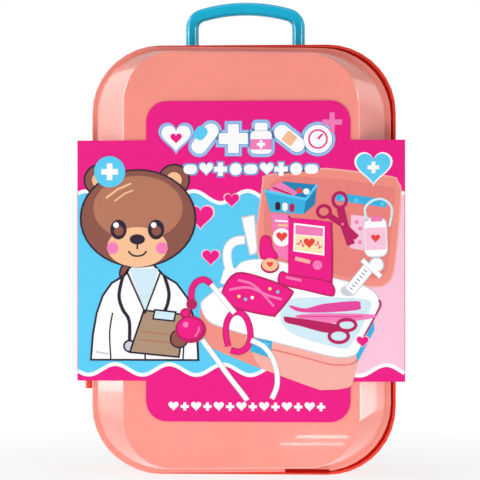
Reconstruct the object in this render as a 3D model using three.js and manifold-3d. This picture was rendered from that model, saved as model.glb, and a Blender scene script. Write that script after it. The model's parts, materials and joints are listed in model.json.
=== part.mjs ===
// A toy doctor case: a clamshell carry case in a printed card sleeve, with its tray of toy tools.
// Millimetres, +Z up. The case stands on its lower short side and its lid faces -Y.
// The origin is at the middle of the base.
import * as THREE from 'three';
import { mergeVertices } from 'three/addons/utils/BufferGeometryUtils.js';
import Module from 'manifold-3d';

const wasm = await Module();
wasm.setup();

// The case as a whole
const caseWidth = 240;
const caseHeight = 339;
const caseDepth = 100;
const lidDepth = 35;
const cornerRadius = 54;
const wall = 2.2;
const cornerSteps = 9;
const middleZ = caseHeight / 2;
const lidFaceY = -caseDepth / 2;
const tubBackY = caseDepth / 2;
const seamY = lidFaceY + lidDepth;

// Clearances and the overrun of every cut
const seatGap = 0.3;
const pinGap = 0.3;
const overrun = 1;

// Tub
const tubRimBand = 8;
const tubSideInset = 9;
const tubEndInset = 9.5;
const tubDraft = 3;
const tubEdgeRound = 3;
const tubWallCorner = 45;
const footWidth = 35;
const footSpread = 100;
const footSetback = 6;

// Lid
const grooveWidth = 1.8;
const lidEdgeDrop = 1.8;
const lidHingeInset = 0.3;
const lidLipShare = 0.58;
const lidRimBand = 5;
const lidLedgeRound = 0.6;
const lidSideLedge = 3.8;
const lidEndLedge = 2.7;
const lidSideSlope = 19.8;
const lidEndSlope = 2.8;
const lidFaceEdge = 2.4;
const lidFaceCorner = 39;

// Hinge on the left long side
const hingeOffset = 2.4;
const knuckleRadius = 3.3;
const knuckleLength = 12.3;
const hingePinRadius = 1.2;
const hingeShares = { low: 0.1991, high: 0.6593 };
const hingeLowZ = hingeShares.low * caseHeight;
const hingeHighZ = hingeShares.high * caseHeight;
const knuckleArm = 2.6;

// Latch on the right long side
const latchWidth = 34;
const latchPlate = 2.8;
const latchLength = 22;
const latchBarrelRadius = 3;
const latchPinRadius = 1.1;
const latchRise = 1.4;
const latchLip = 0.5;
const latchGrip = 1.4;
const latchSetback = 4.5;
const latchEar = 3;
const catchWidth = 28;
const catchDepth = 3.2;

// Carry handle on the upper short side
const handleWidth = 95.3;
const handleReach = 35.7;
const handleLeg = 10.2;
const handleGrip = 10.2;
const handleThick = 9.4;
const handleCorner = 16;
const handleCrown = 3.4;
const handleBevel = 1.8;
const handleY = 8;
const handleBarrelRadius = 3.9;
const handlePinRadius = 1.4;
const handleEar = 3;
const handleFloorGap = 1.6;

// Card sleeve
const sleeveSideGap = 0.7;
const sleeveCard = 0.8;
const sleeveFaceGap = 0.4;
const sleeveShares = {
  low: 0.2233, high: 0.7738, tabLow: 0.1304, tabHigh: 0.8634, tabLeft: 0.3058, tabRight: 0.3546,
};
const sleeveLowZ = sleeveShares.low * caseHeight;
const sleeveHighZ = sleeveShares.high * caseHeight;
const tabLowZ = sleeveShares.tabLow * caseHeight;
const tabHighZ = sleeveShares.tabHigh * caseHeight;
const tabLeft = sleeveShares.tabLeft * caseWidth;
const tabRight = sleeveShares.tabRight * caseWidth;
const tabCorner = 16;
const sleeveHingeSlitFront = 7;
const sleeveHingeSlitRear = 1.4;
const latchWindowHigh = 48;
const latchWindowFront = 14;
const latchWindowRear = 23;

// Tray
const trayWall = 1.4;
const trayEdgeGap = 0.6;
const trayHalfWidth = caseWidth / 2 - wall - trayEdgeGap;
const trayHalfHeight = caseHeight / 2 - wall - trayEdgeGap;
const toolGap = 1;
const pocketCorner = 6;
const pocketSteps = 4;

// Widths and heights of what the case holds, as shares of the tray's half width and half height
const widthShares = {
  monitor: 0.717, screen: 0.478, stethoscope: 0.768, ringSpread: 0.0973, hammer: 0.2645, gauge: 0.1792,
  bottle: 0.307, basket: 0.6485, basketCentre: -0.358, railLeft: 0.034, rail: 0.64, drip: 0.29, badge: 0.282,
};
const heightShares = {
  monitor: 0.444, screen: 0.252, stethoscope: 0.936, syringe: 0.336, blade: 0.276, shank: 0.216,
  smallTool: 0.456, scope: 0.372, bulb: 0.264, bulbDrop: 0.372, bottle: 0.312, basketLow: 0.111,
  basket: 0.324, roll: 0.204, plasterBox: 0.228, railLow: 0.555, drip: 0.348, badge: 0.288,
};
const acrossCase = (name) => widthShares[name] * trayHalfWidth;
const alongCase = (name) => heightShares[name] * trayHalfHeight;

// Where the middle of each tool's pocket lies, as shares of the tray's half width and half height
const placeShares = {
  monitor: [-0.445, 0.59], stethoscope: [0.455, 0.34], syringe: [-0.752, -0.47], scissors: [-0.352, -0.502],
  scope: [-0.752, 0.125], hammer: [-0.486, 0.075], tweezers: [-0.265, 0.075], scalpel: [-0.162, 0.075],
  thermometer: [-0.068, 0.075], gauge: [0.27, -0.33], bottle: [0.66, -0.48],
};

// Routes in the stethoscope's well, as shares of the well's half width and half height
const hoseShares = [[-0.12, 0.02], [-0.5, -0.14], [-0.74, -0.4], [-0.66, -0.7], [-0.36, -0.82]];
const frameShares = [[0.34, 0.4], [0.72, 0.58], [0.72, 0.8], [0.44, 0.92]];
const yokeShare = 0.22;
const waistShare = 0.35;

// Heart monitor
const monitorWidth = acrossCase('monitor');
const monitorHeight = alongCase('monitor');
const monitorThick = 20;
const monitorSunk = 12;
const monitorCorner = 10;
const monitorBevel = 2.5;
const screenWidth = acrossCase('screen');
const screenHeight = alongCase('screen');
const screenRecess = 2.4;
const screenPlate = 1.4;
const screenInset = 8;
const keyRadius = 3.4;
const keyRise = 1.6;
const keySpacing = 11;

// Stethoscope
const stethoscopeWidth = acrossCase('stethoscope');
const stethoscopeHeight = alongCase('stethoscope');
const stethoscopeSunk = 9;
const chestRadius = 19;
const chestThick = 11;
const chestRim = 2;
const hoseRadius = 3.2;
const frameRadius = 2.5;
const earTipRadius = 5;
const yokeWidth = 13;
const yokeHeight = 15;
const yokeThick = 9;

// Syringe
const syringeRadius = 8.6;
const syringeBore = 7.2;
const syringeLength = alongCase('syringe');
const syringeFlange = 10.6;
const syringeFlangeThick = 2.4;
const nozzleRadius = 2.2;
const nozzleTipShare = 0.7;
const nozzleLength = 7;
const syringeSunk = 10;
const plungerTravel = 30;
const plungerEndRoom = 4;
const plungerRod = 3;
const plungerGap = 0.4;
const sealLength = 5;
const thumbRadius = 9.4;
const thumbThick = 2.6;
const thumbRise = 12;

// Scissors
const bladeLength = alongCase('blade');
const bladeWidth = 7.2;
const shankLength = alongCase('shank');
const ringSpread = acrossCase('ringSpread');
const ringOuter = 11;
const ringInner = 7.2;
const scissorThick = 2.8;
const rivetRadius = 2.2;
const rivetHead = 3.8;
const rivetHeadThick = 1.2;

// Small tools
const smallToolLength = alongCase('smallTool');
const smallToolSunk = 3.5;
const toolEdge = 1;
const hammerHeadWidth = acrossCase('hammer');
const hammerHeadHeight = 20;
const hammerThick = 13;
const hammerSunk = 7;
const hammerShaftRadius = 3.6;
const hammerGripRadius = 5.4;
const tweezerSpread = 10;
const tweezerArm = 2.2;
const tweezerThick = 6;
const scalpelWidth = 7;
const scalpelThick = 4.6;
const scalpelBladeLength = 27;
const thermometerWidth = 8;
const thermometerThick = 5;
const thermometerTip = 14;
const thermometerRecess = 1;
const scopeLength = alongCase('scope');
const scopeHandleRadius = 7.5;
const scopeNeckRadius = 5.25;
const scopeHeadRadius = 9;
const scopeHeadLength = 13;
const scopeConeLength = 9;
const scopeTipRadius = 3;
const scopeSunk = 9;

// Blood pressure gauge
const gaugeRadius = acrossCase('gauge');
const gaugeThick = 10;
const gaugeSunk = 6;
const gaugeRim = 2.6;
const gaugeRecess = 2.6;
const dialPlate = 1;
const needleLength = 13;
const needleWidth = 1.8;
const needleThick = 0.6;
const bulbRadius = 14;
const bulbLength = alongCase('bulb');
const bulbNeck = 4;
const bulbFullness = 0.8;
const bulbSteps = 8;
const bulbDrop = alongCase('bulbDrop');
const gaugeHoseRadius = 2.4;

// Medicine bottle
const bottleWidth = acrossCase('bottle');
const bottleHeight = alongCase('bottle');
const bottleThick = 22;
const bottleSunk = 10;
const bottleBevel = 3;
const bottleNeckRadius = 7;
const bottleNeckHeight = 11;
const capRadius = 9.6;
const capHeight = 13;
const capWall = 1.6;

// What the lid holds
const basketWidth = acrossCase('basket');
const basketHeight = alongCase('basket');
const basketDepth = 22;
const basketWall = 1.8;
const basketCentreX = acrossCase('basketCentre');
const basketLowZ = middleZ + alongCase('basketLow');
const basketSlotWidth = 5.5;
const basketSlotHeight = 9;
const basketColumns = 6;
const basketRows = 3;
const basketMarginShare = 0.16;
const rollRadius = 9;
const rollBore = 4;
const rollLength = alongCase('roll');
const plasterBoxWidth = 28;
const plasterBoxHeight = alongCase('plasterBox');
const plasterBoxThick = 9;
const railLeft = acrossCase('railLeft');
const railWidth = acrossCase('rail');
const railHeight = 11;
const railThick = 4;
const railLowZ = middleZ + alongCase('railLow');
const hookCount = 4;
const hookWidth = 4;
const hookReach = 13;
const hookArm = 2.6;
const hookTip = 6;
const dripWidth = acrossCase('drip');
const dripHeight = alongCase('drip');
const dripThick = 11;
const dripBevel = 2.4;
const dripPortRadius = 2;
const dripPortLength = 16;
const badgeWidth = acrossCase('badge');
const badgeHeight = alongCase('badge');
const badgeThick = 1.6;
const badgeCorner = 2;
const hangerWidth = 12;
const hangerHeight = 16;
const hangerThick = 2;
const hangerCorner = 1;
const hangerOverlap = 1;
const hangerHoleWide = 7;

// Finishes
function plastic(colour, roughness) {
  return new THREE.MeshStandardMaterial({ color: colour, roughness, metalness: 0 });
}
const colours = {
  peach: '#fc9a8c', coral: '#ee6a5a', cyan: '#0fb0d8', white: '#f4f2f0', pink: '#e8227f',
  pinkLight: '#f27bb0', card: '#eb1584', steel: '#b9bcc2', clear: '#dfe9ee', screen: '#bfe6ef',
};

// Joins merged corners, drops triangles with no area and turns the faces outwards.
function solid(geometry) {
  const bare = geometry.index ? geometry.toNonIndexed() : geometry.clone();
  for (const name of Object.keys(bare.attributes)) {
    if (name !== 'position') bare.deleteAttribute(name);
  }
  const merged = mergeVertices(bare);
  const places = merged.attributes.position.array;
  const index = merged.index.array;
  const corner = (number) => new THREE.Vector3().fromArray(places, 3 * number);
  const triangles = [];
  let volume = 0;
  for (let first = 0; first < index.length; first += 3) {
    const [a, b, c] = [index[first], index[first + 1], index[first + 2]];
    if (a === b || b === c || c === a) continue;
    triangles.push(a, b, c);
    volume += corner(a).dot(corner(b).cross(corner(c)));
  }
  if (volume < 0) triangles.reverse();
  return new wasm.Manifold(new wasm.Mesh({
    numProp: 3, vertProperties: Float32Array.from(places), triVerts: Uint32Array.from(triangles),
  }));
}

function joined(...bodies) {
  return bodies.reduce((whole, body) => whole.add(body));
}

function cut(body, ...tools) {
  return tools.reduce((rest, tool) => rest.subtract(tool), body);
}

// A named piece with its own finish.
function piece(name, body, colour, roughness = 0.35) {
  const mesh = body.getMesh();
  const geometry = new THREE.BufferGeometry();
  geometry.setAttribute('position', new THREE.BufferAttribute(mesh.vertProperties, mesh.numProp));
  geometry.setIndex(new THREE.BufferAttribute(mesh.triVerts, 1));
  geometry.computeVertexNormals();
  const result = new THREE.Mesh(geometry, plastic(colour, roughness));
  result.name = name;
  return result;
}

// Outlines drawn in a plane
function roundedRect(halfWidth, halfHeight, corner, centreX = 0, centreZ = 0) {
  const shape = new THREE.Shape();
  const right = centreX + halfWidth - corner;
  const left = centreX - halfWidth + corner;
  const top = centreZ + halfHeight - corner;
  const bottom = centreZ - halfHeight + corner;
  shape.absarc(right, top, corner, 0, Math.PI / 2);
  shape.absarc(left, top, corner, Math.PI / 2, Math.PI);
  shape.absarc(left, bottom, corner, Math.PI, 1.5 * Math.PI);
  shape.absarc(right, bottom, corner, 1.5 * Math.PI, 2 * Math.PI);
  return shape;
}

function disc(radius, centreX = 0, centreZ = 0) {
  const shape = new THREE.Shape();
  shape.absarc(centreX, centreZ, radius, 0, 2 * Math.PI);
  return shape;
}

function outline(points) {
  return new THREE.Shape(points.map(([x, z]) => new THREE.Vector2(x, z)));
}

// An arc gets two faces for each of its curve segments, so half the wanted faces are asked for.
function extruded(shape, depth, bevel, steps) {
  return new THREE.ExtrudeGeometry(shape, {
    depth: depth - 2 * bevel, curveSegments: Math.ceil(steps / 2), steps: 1,
    bevelEnabled: bevel > 0, bevelThickness: bevel, bevelSize: bevel, bevelOffset: -bevel, bevelSegments: 2,
  }).translate(0, 0, bevel);
}

// An outline in the XZ plane, given thickness from backY towards the front.
function plateFront(shape, backY, depth, bevel = 0, steps = pocketSteps) {
  return solid(extruded(shape, depth, bevel, steps).rotateX(Math.PI / 2).translate(0, backY, 0));
}

// An outline in the XY plane, raised from lowZ.
function plateUp(shape, lowZ, height, bevel = 0, steps = pocketSteps) {
  return solid(extruded(shape, height, bevel, steps).translate(0, 0, lowZ));
}

// An outline in the YZ plane, given thickness from leftX towards +X.
function plateRight(shape, leftX, width, bevel = 0, steps = pocketSteps) {
  const turn = new THREE.Matrix4().makeBasis(
    new THREE.Vector3(0, 1, 0), new THREE.Vector3(0, 0, 1), new THREE.Vector3(1, 0, 0));
  return solid(extruded(shape, width, bevel, steps).applyMatrix4(turn).translate(leftX, 0, 0));
}

// A block between two opposite corners.
function block(low, high) {
  const size = high.map((value, axis) => value - low[axis]);
  const centre = high.map((value, axis) => (value + low[axis]) / 2);
  return solid(new THREE.BoxGeometry(...size).translate(...centre));
}

function rodX(radius, leftX, length, y, z, sides = 16) {
  const rod = new THREE.CylinderGeometry(radius, radius, length, sides).rotateZ(Math.PI / 2);
  return solid(rod.translate(leftX + length / 2, y, z));
}

function rodY(radius, lowY, length, x, z, sides = 16) {
  return solid(new THREE.CylinderGeometry(radius, radius, length, sides).translate(x, lowY + length / 2, z));
}

function rodZ(radius, lowZ, length, x, y, sides = 16) {
  const rod = new THREE.CylinderGeometry(radius, radius, length, sides).rotateX(Math.PI / 2);
  return solid(rod.translate(x, y, lowZ + length / 2));
}

// A profile of [radius, height] pairs turned about the Z axis, or about the Y axis.
function turnedZ(profile, x, y, z, sides = 18) {
  const points = profile.map(([radius, height]) => new THREE.Vector2(radius, height));
  return solid(new THREE.LatheGeometry(points, sides).rotateX(Math.PI / 2).translate(x, y, z));
}

function turnedY(profile, x, y, z, sides = 18) {
  const points = profile.map(([radius, height]) => new THREE.Vector2(radius, height));
  return solid(new THREE.LatheGeometry(points, sides).translate(x, y, z));
}

// A round tube along a curve.
function tube(points, radius, steps, sides = 8) {
  const curve = new THREE.CatmullRomCurve3(points.map((point) => new THREE.Vector3(...point)));
  const section = new THREE.Shape();
  section.absarc(0, 0, radius, 0, 2 * Math.PI);
  return solid(new THREE.ExtrudeGeometry(section, {
    extrudePath: curve, steps, curveSegments: Math.ceil(sides / 2), bevelEnabled: false,
  }));
}

// One ring of a moulded shell: a rounded rectangle standing in the XZ plane at one depth.
function ring(halfWidth, halfHeight, corner, y) {
  const quarters = [[1, 1], [-1, 1], [-1, -1], [1, -1]];
  return quarters.flatMap(([sideX, sideZ], quarter) => (
    Array.from({ length: cornerSteps + 1 }, (_, step) => {
      const angle = (quarter + step / cornerSteps) * Math.PI / 2;
      const x = sideX * (halfWidth - corner) + corner * Math.cos(angle);
      const z = middleZ + sideZ * (halfHeight - corner) + corner * Math.sin(angle);
      return new THREE.Vector3(x, y, z);
    })));
}

// Skins a list of rings and closes both ends with a fan.
function loft(rings) {
  const count = rings[0].length;
  const ends = [rings[0], rings[rings.length - 1]].map((points) => (
    points.reduce((sum, point) => sum.add(point), new THREE.Vector3()).divideScalar(count)));
  const points = [...rings.flat(), ...ends];
  const triangles = [];
  for (let row = 0; row + 1 < rings.length; row += 1) {
    for (let step = 0; step < count; step += 1) {
      const next = (step + 1) % count;
      const [a, b] = [row * count + step, row * count + next];
      const [c, d] = [a + count, b + count];
      triangles.push(a, c, b, b, c, d);
    }
  }
  const lastRow = (rings.length - 1) * count;
  for (let step = 0; step < count; step += 1) {
    const next = (step + 1) % count;
    triangles.push(step, next, points.length - 2);
    triangles.push(lastRow + next, lastRow + step, points.length - 1);
  }
  const geometry = new THREE.BufferGeometry().setFromPoints(points);
  geometry.setIndex(triangles);
  return solid(geometry);
}

// Tub
const rimHalfWidth = caseWidth / 2;
const rimHalfHeight = caseHeight / 2;
const tubHalfWidth = rimHalfWidth - tubSideInset;
const tubHalfHeight = rimHalfHeight - tubEndInset;
const ledgeY = seamY + tubRimBand;
const tubTopZ = middleZ + tubHalfHeight;
const hingeX = -rimHalfWidth - hingeOffset;
const latchX = rimHalfWidth + latchRise + latchPlate - latchBarrelRadius + seatGap;
const latchY = ledgeY + latchSetback;
const handlePivotZ = tubTopZ + handleFloorGap + handleBarrelRadius;
const handleTopZ = caseHeight + handleReach;

function tubBowl() {
  const deepY = tubBackY - tubEdgeRound;
  const deepWidth = tubHalfWidth - tubDraft;
  const deepHeight = tubHalfHeight - tubDraft;
  const rimCorner = cornerRadius - wall;
  return loft([
    ring(deepWidth - wall - tubEdgeRound, deepHeight - wall - tubEdgeRound,
      tubWallCorner - tubEdgeRound, tubBackY - wall),
    ring(deepWidth - wall, deepHeight - wall, tubWallCorner, deepY - wall),
    ring(tubHalfWidth - wall, tubHalfHeight - wall, tubWallCorner, ledgeY),
    ring(tubHalfWidth - wall, tubHalfHeight - wall, tubWallCorner, ledgeY - wall),
    ring(rimHalfWidth - wall, rimHalfHeight - wall, rimCorner, ledgeY - wall),
    ring(rimHalfWidth - wall, rimHalfHeight - wall, rimCorner, seamY),
    ring(rimHalfWidth, rimHalfHeight, cornerRadius, seamY),
    ring(rimHalfWidth, rimHalfHeight, cornerRadius, ledgeY),
    ring(tubHalfWidth, tubHalfHeight, tubWallCorner, ledgeY),
    ring(deepWidth, deepHeight, tubWallCorner, deepY),
    ring(deepWidth - tubEdgeRound, deepHeight - tubEdgeRound, tubWallCorner - tubEdgeRound, tubBackY),
  ]);
}

// A foot is a moulded rail that runs back from the rim, level with it.
function tubFoot(centreX) {
  const insideZ = middleZ - tubHalfHeight + wall / 2;
  const backY = tubBackY - footSetback;
  const profile = outline([[ledgeY - wall / 2, insideZ], [ledgeY - wall / 2, 0], [backY - tubEdgeRound, 0],
    [backY, tubEdgeRound], [backY, insideZ]]);
  return plateRight(profile, centreX - footWidth / 2, footWidth);
}

function hingeKnuckle(lowZ, length) {
  return rodZ(knuckleRadius, lowZ, length, hingeX, seamY, 20);
}

function hingeBore(lowZ) {
  return rodZ(hingePinRadius + pinGap, lowZ - overrun, 3 * knuckleLength + 2 * overrun, hingeX, seamY, 14);
}

// The tub carries the two outer knuckles of a hinge, and its rim is notched for the lid's.
function tubHinge(tub, lowZ) {
  const upperZ = lowZ + 2 * knuckleLength;
  const notchRadius = knuckleRadius + seatGap;
  const notch = rodZ(notchRadius, lowZ + knuckleLength, knuckleLength, hingeX, seamY, 20);
  const outer = [lowZ, upperZ].map((z) => joined(
    hingeKnuckle(z, knuckleLength),
    block([hingeX, seamY, z], [-rimHalfWidth + wall / 2, seamY + knuckleRadius, z + knuckleLength])));
  return cut(joined(cut(tub, notch), ...outer), hingeBore(lowZ));
}

// Two ears on the tub's side carry the latch's pin.
function latchEars() {
  const reach = latchX + latchBarrelRadius - seatGap;
  const shape = new THREE.Shape();
  shape.moveTo(tubHalfWidth - wall, latchY - latchBarrelRadius + seatGap);
  shape.lineTo(latchX, latchY - latchBarrelRadius + seatGap);
  shape.absarc(latchX, latchY, reach - latchX, -Math.PI / 2, Math.PI / 2);
  shape.lineTo(tubHalfWidth - wall, latchY + 2 * latchBarrelRadius);
  return [-1, 1].map((side) => {
    const nearZ = side * (latchWidth / 2 + seatGap);
    return plateUp(shape, middleZ + Math.min(nearZ, nearZ + side * latchEar), latchEar);
  });
}

function latchBore() {
  const half = latchWidth / 2 + seatGap + latchEar + overrun;
  return rodZ(latchPinRadius + pinGap, middleZ - half, 2 * half, latchX, latchY, 14);
}

// The handle's leg turns between two ears that stand on the tub's upper wall.
const handleLegCentre = handleWidth / 2 - handleLeg / 2;
const handleEarPlaces = [-1, 1].map((side) => side * (handleLeg / 2 + seatGap + handleEar / 2));

function handleEars() {
  const shape = new THREE.Shape();
  shape.moveTo(handleY - handleBarrelRadius - wall, tubTopZ - wall);
  shape.lineTo(handleY - handleBarrelRadius, handlePivotZ);
  shape.absarc(handleY, handlePivotZ, handleBarrelRadius, Math.PI, 0, true);
  shape.lineTo(handleY + handleBarrelRadius + wall, tubTopZ - wall);
  return [-1, 1].flatMap((side) => handleEarPlaces.map((place) => (
    plateRight(shape, side * handleLegCentre + place - handleEar / 2, handleEar))));
}

function handleBore(side) {
  const half = handleLeg / 2 + seatGap + handleEar + overrun;
  return rodX(handlePinRadius + pinGap, side * handleLegCentre - half, 2 * half, handleY, handlePivotZ, 14);
}

function tubShell() {
  const feet = [-1, 1].map((side) => tubFoot(side * footSpread / 2));
  const body = joined(tubBowl(), ...feet, ...latchEars(), ...handleEars());
  const hinged = tubHinge(tubHinge(body, hingeLowZ), hingeHighZ);
  return piece('tub_shell', cut(hinged, latchBore(), handleBore(-1), handleBore(1)), colours.coral, 0.25);
}

// Lid: flush with the tub's rim on the hinge side. Towards the latch it draws in, so the tub's rim shows.
const lidLatchInset = wall + grooveWidth;
const lidHalfWidth = rimHalfWidth - (lidHingeInset + lidLatchInset) / 2;
const lidHalfHeight = rimHalfHeight - lidHingeInset;
const lidCentreX = (lidHingeInset - lidLatchInset) / 2;
const lidLeftX = lidCentreX - lidHalfWidth;
const lidRightX = lidCentreX + lidHalfWidth;
const lidTaper = (lidLatchInset - lidHingeInset) / lidHalfHeight;
const lidLedgeY = seamY - lidRimBand;
const lidEdgeY = seamY + lidEdgeDrop;

function lidRing(halfWidth, halfHeight, corner, y, centreX = 0) {
  return ring(halfWidth, halfHeight, corner, y).map((point) => {
    const x = point.x + centreX;
    const share = (x - lidLeftX) / (lidRightX - lidLeftX);
    return new THREE.Vector3(x, y, middleZ + (point.z - middleZ) * (1 - lidTaper * share));
  });
}

function lidBowl() {
  const rimCorner = cornerRadius - lidHingeInset;
  const ledgeWidth = lidHalfWidth - lidSideLedge;
  const ledgeHeight = lidHalfHeight - lidEndLedge;
  const ledgeCorner = rimCorner - lidEndLedge;
  const slopeWidth = lidRightX - lidSideLedge - lidSideSlope;
  const slopeHeight = ledgeHeight - lidEndSlope;
  const slopeY = lidFaceY + lidFaceEdge;
  const slant = wall / Math.cos(Math.atan(lidSideSlope / (lidLedgeY - slopeY)));
  const midEdge = lidFaceEdge * (1 - Math.SQRT1_2);
  return loft([
    lidRing(slopeWidth - slant - lidFaceEdge, slopeHeight - wall - lidFaceEdge,
      lidFaceCorner - lidFaceEdge, lidFaceY + wall),
    lidRing(slopeWidth - slant, slopeHeight - wall, lidFaceCorner, slopeY + wall / 2),
    lidRing(ledgeWidth - slant, ledgeHeight - wall, ledgeCorner - wall, lidLedgeY, lidCentreX),
    lidRing(lidHalfWidth - wall, lidHalfHeight - wall, rimCorner - wall, lidLedgeY + wall, lidCentreX),
    lidRing(lidHalfWidth - wall, lidHalfHeight - wall, rimCorner - wall, lidEdgeY, lidCentreX),
    lidRing(lidHalfWidth, lidHalfHeight, rimCorner, lidEdgeY, lidCentreX),
    lidRing(lidHalfWidth, lidHalfHeight, rimCorner, lidLedgeY + lidLedgeRound, lidCentreX),
    lidRing(lidHalfWidth - lidLedgeRound, lidHalfHeight - lidLedgeRound, rimCorner - lidLedgeRound,
      lidLedgeY, lidCentreX),
    lidRing(ledgeWidth, ledgeHeight, ledgeCorner, lidLedgeY, lidCentreX),
    lidRing(slopeWidth, slopeHeight, lidFaceCorner, slopeY),
    lidRing(slopeWidth - midEdge, slopeHeight - midEdge, lidFaceCorner, lidFaceY + midEdge),
    lidRing(slopeWidth - lidFaceEdge, slopeHeight - lidFaceEdge, lidFaceCorner - lidFaceEdge, lidFaceY),
  ]);
}

// The lid's knuckle sits between the tub's two, on an arm that passes over the tub's rim.
function lidKnuckle(lowZ) {
  const startZ = lowZ + knuckleLength + seatGap;
  const length = knuckleLength - 2 * seatGap;
  const arm = block([hingeX, seamY - knuckleArm - seatGap, startZ],
    [lidLeftX + wall / 2, seamY - seatGap, startZ + length]);
  return joined(hingeKnuckle(startZ, length), arm);
}

// The catch is a lug in front of the tub's rim that the latch's lip snaps over.
function lidCatch() {
  const outX = rimHalfWidth + latchRise / 2;
  const backY = seamY - seatGap;
  const profile = outline([[lidRightX - wall / 2, backY], [outX - latchLip, backY],
    [outX, backY - catchDepth / 2], [outX - latchLip, backY - catchDepth],
    [lidRightX - wall / 2, backY - catchDepth]]);
  return plateUp(profile, middleZ - catchWidth / 2, catchWidth);
}

// The lip that nests in the tub's rim runs round the latch side only, and the wall clears the tub's knuckles.
function lidClearances() {
  const lipEndX = lidLeftX + lidLipShare * (lidRightX - lidLeftX);
  const lip = block([-caseWidth, seamY - seatGap, -caseHeight], [lipEndX, lidEdgeY + overrun, 2 * caseHeight]);
  const notches = [hingeLowZ, hingeHighZ].flatMap((lowZ) => [lowZ, lowZ + 2 * knuckleLength]).map((z) => (
    rodZ(knuckleRadius + seatGap, z - seatGap, knuckleLength + 2 * seatGap, hingeX, seamY, 20)));
  return [lip, ...notches];
}

function lidShell() {
  const knuckles = [hingeLowZ, hingeHighZ].map(lidKnuckle);
  const body = joined(cut(lidBowl(), ...lidClearances()), ...knuckles, lidCatch());
  return piece('lid_shell', cut(body, hingeBore(hingeLowZ), hingeBore(hingeHighZ)), colours.peach, 0.2);
}

function hingePins() {
  return [['hinge_pin_lower', hingeLowZ], ['hinge_pin_upper', hingeHighZ]].map(([name, lowZ]) => (
    piece(name, rodZ(hingePinRadius, lowZ, 3 * knuckleLength, hingeX, seamY, 14), colours.steel, 0.3)));
}

// Latch: a barrel on its pin, a plate across the seam, a lip behind its end and a curled grip.
function latch() {
  const lowZ = middleZ - latchWidth / 2;
  const innerX = rimHalfWidth + latchRise;
  const outerX = innerX + latchPlate;
  const endY = latchY - latchLength;
  const lipY = seamY - seatGap - catchDepth - seatGap;
  const lipX = rimHalfWidth + latchRise / 2 + seatGap;
  const profile = new THREE.Shape();
  profile.moveTo(outerX, latchY);
  profile.lineTo(innerX, latchY);
  profile.lineTo(innerX, lipY);
  profile.lineTo(lipX, lipY - latchLip);
  profile.lineTo(innerX, lipY - 2 * latchLip);
  profile.lineTo(innerX, endY + latchGrip);
  profile.quadraticCurveTo(innerX, endY, outerX, endY);
  profile.quadraticCurveTo(outerX + latchGrip, endY, outerX + latchGrip, endY + latchGrip);
  profile.quadraticCurveTo(outerX, endY + 2 * latchGrip, outerX, endY + 4 * latchGrip);
  const barrel = rodZ(latchBarrelRadius, lowZ, latchWidth, latchX, latchY, 20);
  const body = cut(joined(plateUp(profile, lowZ, latchWidth), barrel), latchBore());
  return piece('latch', body, colours.cyan, 0.25);
}

function latchPin() {
  const half = latchWidth / 2 + seatGap + latchEar;
  const pin = rodZ(latchPinRadius, middleZ - half, 2 * half, latchX, latchY, 14);
  return piece('latch_pin', pin, colours.steel, 0.3);
}

// Carry handle: a bow with a crowned grip, drawn as one outline and rounded along its edges.
function bowSide(shape, half, topZ, corner, direction) {
  const shoulder = topZ - handleCrown;
  const inward = half - corner;
  if (direction > 0) {
    shape.lineTo(-half, shoulder - corner);
    shape.absellipse(-inward, shoulder - corner, corner, corner, Math.PI, Math.PI / 2, true);
    shape.quadraticCurveTo(0, topZ + handleCrown, inward, shoulder);
    shape.absellipse(inward, shoulder - corner, corner, corner, Math.PI / 2, 0, true);
  } else {
    shape.lineTo(half, shoulder - corner);
    shape.absellipse(inward, shoulder - corner, corner, corner, 0, Math.PI / 2, false);
    shape.quadraticCurveTo(0, topZ + handleCrown, -inward, shoulder);
    shape.absellipse(-inward, shoulder - corner, corner, corner, Math.PI / 2, Math.PI, false);
  }
}

function carryHandle() {
  const half = handleWidth / 2;
  const innerHalf = half - handleLeg;
  const shape = new THREE.Shape();
  shape.moveTo(-half, handlePivotZ);
  bowSide(shape, half, handleTopZ, handleCorner, 1);
  shape.lineTo(half, handlePivotZ);
  shape.lineTo(innerHalf, handlePivotZ);
  bowSide(shape, innerHalf, handleTopZ - handleGrip, handleCorner / 2, -1);
  shape.lineTo(-innerHalf, handlePivotZ);
  const bow = plateFront(shape, handleY + handleThick / 2, handleThick, handleBevel, 8);
  const barrels = [-1, 1].map((side) => rodX(handleBarrelRadius, side * handleLegCentre - handleLeg / 2,
    handleLeg, handleY, handlePivotZ, 20));
  const body = cut(joined(bow, ...barrels), handleBore(-1), handleBore(1));
  return piece('carry_handle', body, colours.cyan, 0.2);
}

function handlePins() {
  const half = handleLeg / 2 + seatGap + handleEar;
  return [['handle_pin_left', -1], ['handle_pin_right', 1]].map(([name, side]) => (
    piece(name, rodX(handlePinRadius, side * handleLegCentre - half, 2 * half, handleY, handlePivotZ, 14),
      colours.steel, 0.3)));
}

// Card sleeve, in two halves that meet at the seam
const cardInnerX = rimHalfWidth + hingeOffset + knuckleRadius + sleeveSideGap;
const cardHalfWidth = cardInnerX + sleeveCard;
const cardFrontY = lidFaceY - sleeveFaceGap - sleeveCard;
const cardRearY = tubBackY + sleeveFaceGap + sleeveCard;

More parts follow.
